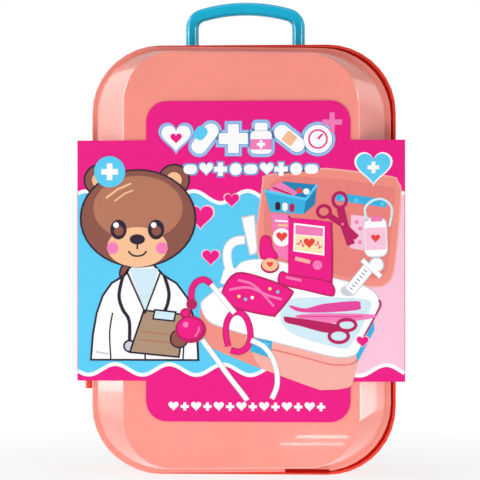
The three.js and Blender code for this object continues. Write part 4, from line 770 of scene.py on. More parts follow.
# A teddy bear in a white coat, with a clipboard
BEAR = [
    *[(ink, layer, "disc", u, 231.6, size) for u in (-109.7, -51.6)
      for ink, layer, size in (("outline", 3, 12.6), ("brown", 4, 11.2), ("skin", 5, 6))],
    ("outline", 3, "shape", *oval(-79.7, 158.9, 15, 0.8)),
    ("brown", 4, "shape", *oval(-79.7, 158.9, 13.6, 0.8)),
    ("outline", 6, "shape", *oval(-79.7, 201.8, 45.6, 0.84)),
    ("brown", 7, "shape", *oval(-79.7, 201.8, 44, 0.84)),
    ("brown_light", 8, "shape", *oval(-79.7, 209.7, 35, 0.72)),
    ("skin", 9, "line", 1.6, (-104.8, 217.5), (-95.7, 224.3), (-85.1, 228.9)),
    ("skin", 9, "line", 1.2, (-98, 215.2), (-89.6, 221.3), (-83.5, 223.6)),
    ("skin", 9, "shape", *oval(-80.2, 179.5, 23.5, 0.66)),
    *[row for eye, pupil, spark, cheek in ((-94.9, -94.6, -96.8, -99.5), (-65.6, -65.3, -67.4, -61))
      for row in (("outline", 10, "shape", *oval(eye, 193.1, 6.4, 1.2)),
                  ("brown", 11, "disc", pupil, 192.1, 3.8), ("white", 12, "disc", spark, 196.6, 2.2),
                  ("rose", 10, "disc", cheek, 178.7, 4.6))],
    ("outline", 11, "shape", *oval(-80.2, 185.5, 6, 0.66)),
    ("outline", 11, "line", 1.3, (-80.2, 182.5), (-80.2, 177.9)),
    ("outline", 12, "curve", 1.3, (-87.3, 176.4), (-84.3, 173.4), (-80.2, 172.5), (-75.9, 173.4),
     (-72.9, 176.4)),
    ("outline", 4, "shape", (-117.3, 91.2), (-115.8, 111.7), (-112.7, 128.5), (-107.9, 142.2),
     (-100.9, 152.1), (-90.8, 158.2), (-85.1, 166.5), (-66.8, 166.5), (-59.2, 158.2), (-49.2, 152.1),
     (-40.6, 140.7), (-35.2, 123.9), (-32.7, 108.7), (-31.8, 91.2)),
    ("white", 5, "shape", (-115.6, 92.7), (-114.1, 111.3), (-111.2, 127.9), (-106.5, 141.3),
     (-99.8, 150.8), (-89.6, 156.9), (-83.8, 165), (-68, 165), (-60.3, 156.9), (-50.2, 150.8),
     (-42, 139.9), (-36.7, 123.5), (-34.4, 108.4), (-33.6, 92.7)),
    ("ice", 12, "shape", (-86.6, 162.7), (-63.8, 162.7), (-74.1, 129.2)),
    ("outline", 13, "line", 1.4, (-88.1, 159.7), (-74.1, 128.5), (-62.2, 159.7)),
    ("outline", 8, "line", 1.2, (-74.1, 128.5), (-74.1, 92.7)),
    ("outline", 6, "curve", 1.2, (-99.5, 128.5), (-101.8, 113.3), (-100.9, 92.7)),
    ("outline", 6, "line", 1.2, (-45.5, 128.5), (-43.4, 113.3), (-44.6, 92.7)),
    ("grey", 6, "line", 1.4, (-112.4, 98.1), (-102.6, 96.5)),
    ("outline", 10, "curve", 2.6, (-91.4, 157.4), (-94.5, 142.2), (-91.8, 131.5), (-86.6, 122.4),
     (-86.3, 105.7)),
    ("outline", 10, "curve", 2.6, (-59.2, 157.4), (-55.5, 143.7), (-58, 131.5), (-63.8, 125.4)),
    ("outline", 11, "disc", -86.3, 102.6, 5),
    ("grey", 12, "disc", -86.3, 102.6, 3.6),
    ("outline", 12, "shape", (-75.6, 131.2), (-41.9, 127.6), (-47.3, 93.5), (-86.9, 97.3)),
    ("tan", 13, "shape", (-74.4, 129.7), (-43.5, 126.4), (-48.5, 95), (-85.1, 98.5)),
    ("outline", 14, "shape", (-67.1, 131.5), (-49.5, 129.7), (-51, 121.5), (-68.6, 123.3)),
    ("ice", 15, "shape", (-65.9, 130.2), (-51, 128.5), (-52.2, 122.9), (-67.1, 124.4)),
    ("brown_light", 14, "line", 1.2, (-77.1, 114), (-51.6, 111.3)),
    ("brown_light", 14, "line", 1.2, (-79.3, 107.9), (-52.8, 105.2)),
    ("outline", 14, "disc", -47.6, 108.4, 7.4),
    ("brown", 15, "disc", -47.6, 108.4, 6.2),
]
# The open case's lid with its basket, rail, scissors and drip bottle
OPEN_LID = [
    ("peach_light", 3, "blob", (16.8, 228.6), (18.6, 233.5), (22.9, 235.9), (57.1, 239.8), (71.6, 240.2),
     (115.7, 234.4), (121.8, 230.1), (124.5, 222.5), (122.7, 193.9), (119.4, 163.5), (116.9, 154.7),
     (112.4, 150.1), (105.1, 148.3), (85.3, 150.5), (16.8, 163.5)),
    ("peach", 4, "blob", (18, 228.1), (19.6, 232.4), (23.2, 234.8), (57.6, 238.8), (71.6, 238.9),
     (115.2, 233.3), (120.7, 229.4), (123.3, 222.5), (121.5, 193.9), (118.3, 163.9), (115.7, 155.7),
     (111.6, 151.3), (105.1, 149.5), (85.3, 151.9), (18, 165)),
    ("salmon", 5, "blob", (22.9, 227.4), (57.9, 233.5), (114.2, 225.9), (119.1, 221), (116.9, 193.9),
     (113.9, 165), (110.5, 157.7), (105.1, 155.6), (67, 158.9), (22.9, 169.6)),
    ("cyan_deep", 6, "shape", (19.1, 223.6), (32.8, 230.4), (59.1, 227.7), (50.3, 216.4)),
    ("rose", 7, "shape", (21.4, 224.6), (31.3, 230.1), (44.5, 221.6), (38.9, 217), (22.9, 219.8)),
    ("crimson", 8, "line", 1.4, (25.2, 225.5), (39.9, 219.8)),
    ("red", 7, "disc", 45.7, 223.1, 2.2),
    ("white", 7, "disc", 51, 222.5, 2.4),
    ("cyan", 9, "shape", (18.6, 223.1), (50.6, 216.4), (49.1, 204.9), (23.2, 206.7)),
    ("cyan_deep", 9, "shape", (50.6, 216.4), (59.4, 227.7), (57.6, 212.5), (49.1, 204.9)),
    ("sky", 10, "line", 2, (18.6, 223.1), (50.6, 216.4), (59.4, 227.7)),
    *[(ink, 10, "box", u, v, 4, 6.6, 1.9)
      for ink, u, v in (("outline", 29, 211.2), ("white", 34.5, 210.6), ("crimson", 39.9, 209.9))],
    ("rose", 6, "shape", (23.5, 205.3), (38.9, 204.2), (38.4, 168.8), (27.2, 172.9)),
    ("white", 7, "disc", 32, 187.1, 7),
    ("red", 8, "heart", 32, 187.1, 8.6),
    ("white", 7, "line", 1.4, (26.9, 200), (36.6, 199.4)),
    ("sun", 7, "line", 1.4, (29, 196.6), (36.6, 196)),
    ("cyan", 6, "line", 6.2, (73.9, 218.6), (113, 213.1)),
    *[("sky", 7, "disc", u, v, 1.6) for u, v in ((79.2, 217), (89.8, 215.6), (100.5, 214.1), (109.6, 212.8))],
    ("blush", 6, "shape", (85.6, 204.6), (99, 203), (97.4, 176.6), (84.7, 178.7)),
    *[("rose", 7, "disc", u, v, 1.5)
      for u, v in ((89.8, 198.8), (92.6, 193.9), (88.9, 188.6), (92.3, 183.3))],
    ("crimson", 8, "line", 2.6, *hoop(76.8, 215.8, 5.2, 1.1)),
    ("crimson", 9, "line", 2.6, *hoop(64.6, 207, 5, 0.9)),
    ("crimson", 10, "line", 6.2, (77.4, 209.4), (80.7, 195.4), (85.6, 181.4)),
    ("crimson", 11, "line", 4.6, (68.8, 203.6), (79.2, 196.9), (90.1, 186.6)),
    ("rose", 12, "disc", 79, 197.3, 1),
    ("ice", 8, "curve", 1.8, (97.8, 200), (96.2, 209.1), (101.7, 215.2), (109.9, 216.4), (116.9, 209.7),
     (115.1, 195.4)),
    ("grey", 7, "box", 104.4, 187.1, 18.4, 31, 6, 2),
    ("white", 8, "box", 104.4, 187.1, 17, 29.6, 5.4, 2),
    ("rose", 9, "box", 105.1, 201.2, 9, 4, 1.2, 2),
    ("blush", 9, "box", 104.4, 186, 16, 17, 0.6, 2),
    ("red", 10, "heart", 104.4, 186, 7),
]
MONITOR = [
    ("crimson", 9, "blob", (38.1, 199.7), (40.2, 201.4), (67.9, 198.8), (71.3, 194.8), (71.6, 156.5),
     (67.9, 151.9), (39.9, 154), (37.5, 158.6)),
    ("hot", 10, "blob", (37.5, 200.6), (39.3, 202.1), (66.7, 199.4), (69.8, 195.4), (70.1, 157.7),
     (66.6, 153.7), (39.3, 155.7), (36.9, 159.5)),
    ("white", 11, "shape", (41.5, 198.2), (65.2, 195.4), (64.9, 172.9), (40.9, 176.3)),
    ("rose", 12, "shape", (42.7, 196.6), (64, 194.2), (63.8, 187.8), (42.5, 189.6)),
    ("sun_light", 12, "shape", (42.5, 189), (63.8, 187.2), (63.7, 174.3), (42.1, 177.3)),
    ("red", 13, "heart", 53.3, 182.3, 8.8),
    ("hot", 13, "line", 0.9, (43.1, 182), (45.7, 182), (46.9, 185.1), (48.5, 179.9), (49.4, 181.7)),
    ("hot", 13, "line", 0.9, (57.6, 181.1), (59.1, 181.1), (60, 184.2), (61.2, 178.7), (63.1, 180.5)),
    ("peach_light", 11, "line", 3, (42.4, 170.9), (54.1, 167.9)),
    ("rose", 11, "disc", 59.6, 165.6, 3.6),
    ("crimson", 12, "blob", (29, 156.6), (32.3, 161), (39.9, 158.5), (67, 153.9), (73, 148.1),
     (73, 143.2), (69.3, 141.4), (50.3, 145.8), (31.1, 150.4)),
    ("hot", 13, "blob", (30.1, 156.6), (32.8, 160), (39.9, 157.5), (66.7, 153), (71.9, 147.7),
     (71.9, 144), (69.3, 142.5), (50.3, 146.9), (31.9, 151.5)),
    ("rose", 14, "line", 2, (35.4, 156.2), (47.5, 153.7)),
    ("crimson", 8, "blob", (15.9, 186.9), (23.2, 187.5), (25.3, 178.7), (28.8, 174.1), (27.9, 170.2),
     (15.9, 170.6)),
    ("hot", 9, "blob", (16.5, 186.3), (22.4, 186.8), (24.4, 178.5), (27.9, 174), (27.2, 171.2),
     (16.5, 171.5)),
    ("crimson", 9, "shape", *oval(22.9, 165, 7.2, 0.8)),
    ("skin", 10, "shape", *oval(22.9, 165.9, 6.2, 0.8)),
    ("red", 11, "heart", 22.9, 165.9, 5),
]
# The open case's base and tray, with the tools that lie in it
OPEN_BASE = [
    ("peach", 5, "blob", (-31, 133.8), (-27.6, 107.8), (-22.7, 101.9), (0.1, 91.7), (22.9, 83.1),
     (57.9, 70.4), (65.5, 69.3), (79.5, 70.4), (86.8, 75.2), (92.3, 98.8), (91.4, 104.1), (45.7, 105.7),
     (-15.1, 122.4)),
    ("peach_light", 6, "blob", (6.2, 111.7), (45.7, 101.7), (71.6, 95.8), (85.3, 96.2), (92.3, 100.8),
     (86.8, 75.2), (79.5, 70.4), (65.5, 69.3), (57.9, 70.4), (22.9, 83.1), (14.7, 87.4), (9.2, 98.1)),
    ("grey", 7, "blob", (-31, 133.8), (-28.5, 139.4), (-18.5, 147), (-9.4, 151.6), (-3.3, 164.1),
     (3.1, 169), (16.8, 170.5), (39.9, 166.4), (73.4, 155.7), (94.7, 150.4), (105.4, 143.4),
     (107.3, 136.1), (105.7, 129.7), (99.6, 115.2), (92.6, 99.9), (85.6, 94.7), (71.6, 94.4),
     (45.7, 100.8), (15.3, 108.4), (-6.3, 114.5), (-24.6, 121.5)),
    ("white", 8, "blob", (-30.3, 133.8), (-28.1, 138.8), (-18.2, 146.4), (-9, 151), (-3, 163.5),
     (3.1, 168.3), (16.8, 169.9), (39.6, 165.8), (73.1, 155.1), (94.4, 149.8), (104.8, 142.9),
     (106.6, 136.1), (105.1, 130), (99, 115.6), (92, 100.5), (85.3, 95.6), (71.6, 95.3), (45.7, 101.7),
     (15.3, 109.3), (-6, 115.4), (-24.3, 122.2)),
    ("ice", 9, "blob", (34.8, 137.9), (64, 140.7), (95.6, 139.4), (101.1, 135.5), (97.4, 125.4),
     (85.3, 104.1), (76.1, 101.7), (45.7, 110.2), (32, 120.9)),
    ("salmon", 7, "curve", 1.4, (10.1, 103.8), (45.7, 95.3), (70.1, 88.9), (84.7, 89.2), (90.4, 92.3)),
    ("cyan", 9, "shape", (7.7, 109.5), (24.4, 106.9), (24.1, 98.1), (21.4, 94.3), (8, 98.8)),
    ("sky", 10, "line", 1.8, (9.5, 106.6), (22.6, 104.1)),
    ("cyan", 9, "shape", (102.6, 123.2), (103.5, 115.6), (90.4, 90.5), (89.5, 96.2), (97.4, 111.7)),
    ("crimson", 10, "curve", 1.4, (106.9, 138.8), (108.4, 135.2), (105.1, 128.2), (94.7, 109)),
    ("magenta", 11, "blob", (37.8, 134.6), (50.3, 132.1), (64, 135.6), (89.8, 137.9), (92.7, 134.6),
     (90.1, 130.9), (60.9, 128.9), (44.2, 129.9)),
    ("rose", 11, "blob", (43.9, 127), (60.9, 128.3), (100.5, 127.7), (99.9, 124.2), (60.9, 120.4),
     (44.5, 124.8)),
    ("magenta", 12, "line", 0.9, (45.7, 125.9), (94.4, 125.9)),
    ("crimson", 12, "blob", (33.9, 124.4), (36.3, 125.7), (67, 121.2), (76.1, 119.4), (76.9, 116),
     (67, 113.3), (45.7, 118.7), (35.4, 121.2)),
    ("crimson", 13, "line", 2.6, *hoop(82.2, 119.4, 7, 0.62)),
    ("crimson", 14, "line", 2.6, *hoop(76.1, 110.8, 7.4, 0.66)),
    ("blush", 12, "heart", 94.4, 106.4, 10.6),
    ("hot", 13, "heart", 94.4, 106.4, 9),
]
# The syringe, which stands in its hole
SYRINGE = [
    ("grey", 10, "shape", *oval(83.5, 145.8, 6, 0.7)),
    ("grey", 11, "line", 9.4, (84.1, 144.9), (99.9, 164.7)),
    ("white", 12, "line", 8.2, (84.4, 145.4), (99.6, 164.4)),
    *[("outline", 13, "line", 0.6, left, right) for left, right in (
        ((84.7, 148.3), (86.8, 146.6)), ((86.5, 150.5), (88.6, 148.9)), ((88.3, 152.8), (90.4, 151.2)),
        ((90.1, 155.1), (92.3, 153.4)), ((92, 157.4), (94.1, 155.7)), ((93.8, 159.7), (95.9, 158)),
        ((95.6, 162), (97.8, 160.3)))],
    ("grey", 13, "line", 4.2, (93.8, 169.9), (108.7, 156.5)),
    ("white", 14, "line", 3, (94.3, 169.4), (108.2, 156.9)),
    ("grey", 12, "disc", 105.1, 165.9, 6),
    ("white", 15, "disc", 105.1, 165.9, 5),
]
# The tray in front, the ear scope, the stethoscope, and the gauge's bulb with its hoses
NEAR_TOOLS = [
    ("crimson", 10, "blob", (-14.7, 144.9), (-3.4, 160), (20.2, 155.4), (39, 147.3), (40.2, 141.9),
     (28.5, 127.4), (24.4, 125.7), (0.1, 130.6), (-9.5, 135.2)),
    ("hot", 11, "blob", (-13.3, 144.9), (-2.7, 158.6), (19.9, 154.2), (37.8, 146.4), (38.7, 142.2),
     (27.5, 128.6), (24.1, 127.1), (0.1, 132), (-8.7, 136.4)),
    ("rose", 12, "curve", 1.8, (-8.7, 146.4), (6.2, 148.3), (21.4, 142.2), (32, 139.1)),
    ("rose", 13, "curve", 1.8, (-2, 154), (10.7, 149.8), (25.9, 133.7)),
    *[(ink, 14, "disc", u, v, 1.3) for ink, u, v in (
        ("sun", -1.1, 141.4), ("sky", 4, 139.1), ("white", 9.2, 140.4), ("sun", 22.9, 147.3),
        ("sky", 29, 144.9))],
    *[(ink, layer, "curve", width, (3.4, 185.2), (-4.2, 184), (-9.4, 179), (-10.3, 171.1), (-8.7, 162.7))
      for ink, layer, width in (("grey", 9, 7.4), ("white", 10, 6))],
    ("grey", 9, "shape", (0.4, 203), (11.3, 205.2), (13.6, 177.2), (11.6, 173.8), (6.8, 172.9)),
    ("white", 10, "shape", (1.4, 202), (10.4, 203.8), (12.6, 177.5), (10.9, 174.9), (7.7, 174.1)),
    ("white", 9, "shape", (-15.7, 151.6), (-12.7, 162.9), (-4.5, 163.5), (0.7, 155.9), (-9, 149.5)),
    *[row for ink, layer, width in (("crimson", 13, 5), ("hot", 14, 3.6)) for row in (
        (ink, layer, "curve", width, (-9.4, 102.6), (-11.2, 111.7), (-10.6, 120.9), (-6.9, 127.6),
         (-1.1, 129.1), (4, 125.4), (7.1, 117.8), (7.7, 108.7), (4.6, 101.4), (-1.4, 98.4), (-7.5, 99.9)),
        (ink, layer, "curve", width, (-38, 137.6), (-37.7, 146.4), (-34, 152.5), (-27.9, 154.3),
         (-22.7, 150.7)))],
    *[row for ink, layer, width in (("grey", 15, 4.2), ("white", 16, 3.2)) for row in (
        (ink, layer, "line", width, (-22.7, 150.7), (-15.1, 141.3), (-8.4, 133), (-4.5, 128.5)),
        (ink, layer, "curve", width, (-29.7, 107.8), (-18.2, 92.3), (-9, 79.5), (1.6, 66.1), (5.3, 60.9)),
        (ink, layer, "curve", width, (8.3, 107.5), (18, 102.6), (25, 93.2), (28.4, 81.3), (28.1, 71.3),
         (24.4, 62.2)))],
    ("crimson", 15, "disc", -37.8, 135.2, 4.2),
    ("crimson", 16, "disc", -42.4, 127.9, 4.4),
    ("hot", 17, "disc", -42.8, 128.5, 2.6),
    ("crimson", 17, "shape", *oval(-38.6, 115.7, 12, 0.88)),
    ("hot", 18, "shape", *oval(-39.2, 116.5, 9.8, 0.84)),
    ("rose", 19, "disc", -42.5, 119.4, 2.2),
    ("rose", 19, "curve", 1.2, (-35.2, 110.2), (-32.5, 114.5), (-32.5, 117.8)),
]
FOOTER = [row for n in range(7) for row in (
    ("white", 3, "heart", -52 + 17.6 * n, 56, 8), ("white", 3, "plus", -43.2 + 17.6 * n, 56, 6.4, 2.2))]
FRONT_PRINT = [*HEADER, *BADGES, *HEARTS, *BEAR, *OPEN_LID, *MONITOR, *OPEN_BASE, *SYRINGE, *NEAR_TOOLS,
               *FOOTER]

BACK_PRINT = [
    ("white", 3, "box", 0, 152, 128, 92, 12), ("hot", 4, "heart", 0, 160, 44),
    ("white", 5, "plus", 0, 162, 20, 6.6),
    *[("sky", 4, "disc", -50 + 20 * n, 116, 4) for n in range(6)],
    *[("hot", 3, "heart", side * 96, 120 + 32 * n, 13) for side in (-1, 1) for n in range(3)],
]


# The print's waved borders: how high they run, in mm, and how high the bottom waves are beside the top ones
TOP_BORDER, BOTTOM_BORDER, BOTTOM_SHARE = 218.3, 84.5, 0.9
CRESTS = (-36.5, -97.3)    # Places of a top and a bottom crest on the front and back
BLUSH_START = 40    # Where the front's sky field ends and its blush field starts
PRINT_MARGIN = 0.5    # From a field's edge to the panel's
PANEL_INSET = 0.02    # How far inside the sleeve's outermost face a panel's edge lies
# Edges of the fields on the wings, along each side panel's own axis, which runs towards +Y on the right and
# towards -Y on the left
RIGHT_FRONT_END, RIGHT_REAR_START, LEFT_FRONT_START, LEFT_REAR_END = -15.9, -14.1, 22.8, 15.2
# The latch's window in the right wing, which the print leaves free
WINDOW_FOOT, WINDOW_TOP, WINDOW_FRONT, WINDOW_REAR = 145, 194, -29.4, 8.4
WING_STEP = 0.4    # Share of the ink step on the wings, where the latch and the lid pass close by


class CASE_OT_artwork(bpy.types.Operator):
    """Prints the sleeve: waved borders, colour fields and motifs, one object for each ink and panel."""
    bl_idname = "case.artwork"
    bl_label = "Sleeve print"

    def execute(self, context):
        sizes = context.scene.case_sizes
        self.period, self.height, self.line = [
            size / MM for size in (sizes.wave_length, sizes.wave_height, sizes.wave_line)]
        step = sizes.ink_step / MM
        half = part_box("card_sleeve_front")[1].x / MM - PANEL_INSET
        left, right = PRINT_MARGIN - half, half - PRINT_MARGIN
        self.broad_side("front", "sleeve_front", FRONT_PRINT,
                        [("sky", left, BLUSH_START), ("blush", BLUSH_START, right)], (left, right), step)
        self.broad_side("back", "sleeve_rear", BACK_PRINT, [("sky", left, right)], (left, right), step)
        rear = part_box("card_sleeve_rear")[1].y / MM - PANEL_INSET - PRINT_MARGIN
        front = -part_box("card_sleeve_front")[0].y / MM - PANEL_INSET - PRINT_MARGIN
        for wing in (("right", "sleeve_front", -front, RIGHT_FRONT_END),
                     ("right", "sleeve_rear", RIGHT_REAR_START, rear),
                     ("left", "sleeve_front", LEFT_FRONT_START, front),
                     ("left", "sleeve_rear", -rear, LEFT_REAR_END)):
            self.wing(*wing, step * WING_STEP)
        return {"FINISHED"}

    def borders(self, start, end, top_crest=0, bottom_crest=0):
        """The top and the bottom wave from one place to another."""
        return (wave(start, end, TOP_BORDER, self.height, self.period, top_crest),
                wave(start, end, BOTTOM_BORDER, self.height * BOTTOM_SHARE, self.period, bottom_crest))

    def broad_side(self, panel, body, motifs, fields, reach, step):
        """Prints the front or the back: its motifs, its fields and the two white wave lines."""
        rows = list(motifs)
        for ink, start, end in fields:
            top, bottom = self.borders(start, end, *CRESTS)
            rows.append((ink, 1, "shape", *top, *reversed(bottom)))
        rows += [("white", 2, "line", self.line, *border) for border in self.borders(*reach, *CRESTS)]
        print_inks("sleeve_" + panel + "_print_", panel, rows, body, step)

    def wing(self, panel, body, start, end, step):
        """Prints one body's part of a side wing."""
        top, bottom = self.borders(start, end)
        outline = [*top, *reversed(bottom)]
        if panel == "right" and body == "sleeve_front":
            outline[len(top):len(top)] = [(end, WINDOW_TOP), (WINDOW_FRONT, WINDOW_TOP),
                                          (WINDOW_FRONT, WINDOW_FOOT), (end, WINDOW_FOOT)]
        elif panel == "right":
            outline += [(start, WINDOW_FOOT), (WINDOW_REAR, WINDOW_FOOT),
                        (WINDOW_REAR, WINDOW_TOP), (start, WINDOW_TOP)]
        ink = "blush" if panel == "right" else "sky"
        rows = [(ink, 1, "shape", *outline),
                *[("white", 2, "line", self.line, *border) for border in (top, bottom)]]
        name = "sleeve_" + panel + "_" + body.split("_")[1] + "_print_"
        print_inks(name, panel, rows, body, step)


# Toys and fittings: node, edge rounding in mm, bevel segments
FITTINGS = (("hinge_pin_lower", 0.2, 2), ("hinge_pin_upper", 0.2, 2), ("latch_pin", 0.2, 2),
            ("handle_pin_left", 0.2, 2), ("handle_pin_right", 0.2, 2), ("latch", 0.5, 3),
            ("tool_basket", 0.4, 2), ("bandage_roll", 0.6, 3), ("plaster_box", 0.4, 2), ("hook_rail", 0.4, 2),
            ("drip_bottle", 0.6, 2), ("name_badge", 0.3, 2))
TOOLS = (("monitor_body", 0.6, 2), ("monitor_screen", 0.3, 2), ("stethoscope_frame", 0, 1),
         ("ear_tip_left", 0, 1), ("ear_tip_right", 0, 1), ("stethoscope_hose", 0, 1),
         ("stethoscope_chest_piece", 0.4, 2), ("syringe_barrel", 0.3, 2), ("syringe_plunger", 0.3, 2),
         ("scissors_rear_half", 0.4, 2), ("scissors_front_half", 0.4, 2), ("scissors_rivet", 0.3, 2),
         ("hammer_head", 0.6, 2), ("hammer_shaft", 0.3, 2), ("tweezers", 0.3, 2), ("scalpel", 0.4, 2),
         ("thermometer", 0.6, 2), ("scope_handle", 0.4, 2), ("scope_head", 0.4, 2), ("gauge_body", 0.6, 2),
         ("gauge_dial", 0.1, 1), ("gauge_needle", 0.1, 1), ("gauge_bulb", 0, 1), ("gauge_hose", 0, 1),
         ("medicine_bottle", 0.6, 2), ("bottle_cap", 0.4, 2))


def dial_print(u, v):
    """The gauge's two coloured bands and its thirteen marks, of which every third is longer."""
    rows = [("sky", 1, "line", 1.5, *arc(u, v, 16.2, 30, 225)),
            ("hot", 1, "line", 1.5, *arc(u, v, 16.2, -45, 30))]
    for number in range(13):
        angle = math.radians(225 - 22.5 * number)
        width, inner = (0.7, 12.4) if number % 3 else (1.1, 11)
        rows.append(("outline", 1, "line", width, *[
            (u + radius * math.cos(angle), v + radius * math.sin(angle)) for radius in (inner, 14.6)]))
    return rows


# Small labels on the toys' flat faces: (ink, layer, kind, values...), with x and z in mm
LABELS = {
    "monitor_screen": [
        ("sun_light", 1, "box", -60.15, 271, 49, 27, 2), ("rose", 1, "box", -60.15, 290.5, 49, 8, 2),
        ("hot", 2, "heart", -60.15, 271.5, 13),
        ("white", 2, "box", -74, 290.5, 14, 3, 1.5), ("white", 2, "disc", -42, 290.5, 2),
        ("crimson", 2, "line", 1.2,
         (-83, 270), (-77, 270), (-75, 274), (-72.5, 264), (-70, 272), (-67.5, 270)),
        ("crimson", 2, "line", 1.2,
         (-53, 270), (-50, 270), (-48, 274), (-45.5, 264), (-43, 272), (-38, 270))],
    "gauge_dial": dial_print(31.64, 114.49),
    "medicine_bottle": [
        ("white", 1, "box", 77.35, 89, 27, 32, 3), ("hot", 2, "plus", 77.35, 93, 14, 4.8),
        ("rose", 2, "box", 77.35, 80.5, 20, 2.2, 1), ("rose", 2, "box", 77.35, 76.5, 14, 2.2, 1)],
    "thermometer": [
        ("white", 1, "box", -8, 190, 4.6, 46, 2), ("crimson", 2, "box", -8.8, 181, 0.9, 24, 0.4),
        *[("outline", 2, "box", -7, 171 + 5 * number, 1.6, 0.5) for number in range(9)]],
    "stethoscope_chest_piece": [("white", 1, "heart", 79.33, 167.2, 11)],
    "drip_bottle": [
        ("blush", 1, "box", 32.1, 221, 23, 32, 3), ("hot", 2, "heart", 32.1, 224, 11),
        ("white", 2, "box", 32.1, 211, 15, 2, 1)],
    "name_badge": [
        ("rose", 1, "box", 69.6, 225, 27, 36, 2), ("white", 2, "disc", 69.6, 231.5, 8.4),
        ("hot", 3, "heart", 69.6, 231, 8.6),
        ("white", 2, "box", 69.6, 216, 18, 2, 1), ("white", 2, "box", 69.6, 211.5, 13, 2, 1)],
    "plaster_box": [("hot", 1, "plus", -21.9, 209, 14, 4.6)],
}


class CASE_OT_fittings(bpy.types.Operator):
    """Finishes the pins, the latch and what hangs in the lid."""
    bl_idname = "case.fittings"
    bl_label = "Fittings"

    def execute(self, context):
        finer_copies(FITTINGS)
        return {"FINISHED"}


class CASE_OT_tools(bpy.types.Operator):
    """Finishes the toy tools in the tray, and labels the flat faces of tools and fittings."""
    bl_idname = "case.tools"
    bl_label = "Toy tools and labels"

    def execute(self, context):
        finer_copies(TOOLS)
        step = context.scene.case_sizes.ink_step / MM
        for node, rows in LABELS.items():
            print_inks("label_" + node + "_", node, rows, BODY_OF[node], step)
        return {"FINISHED"}


# Studio

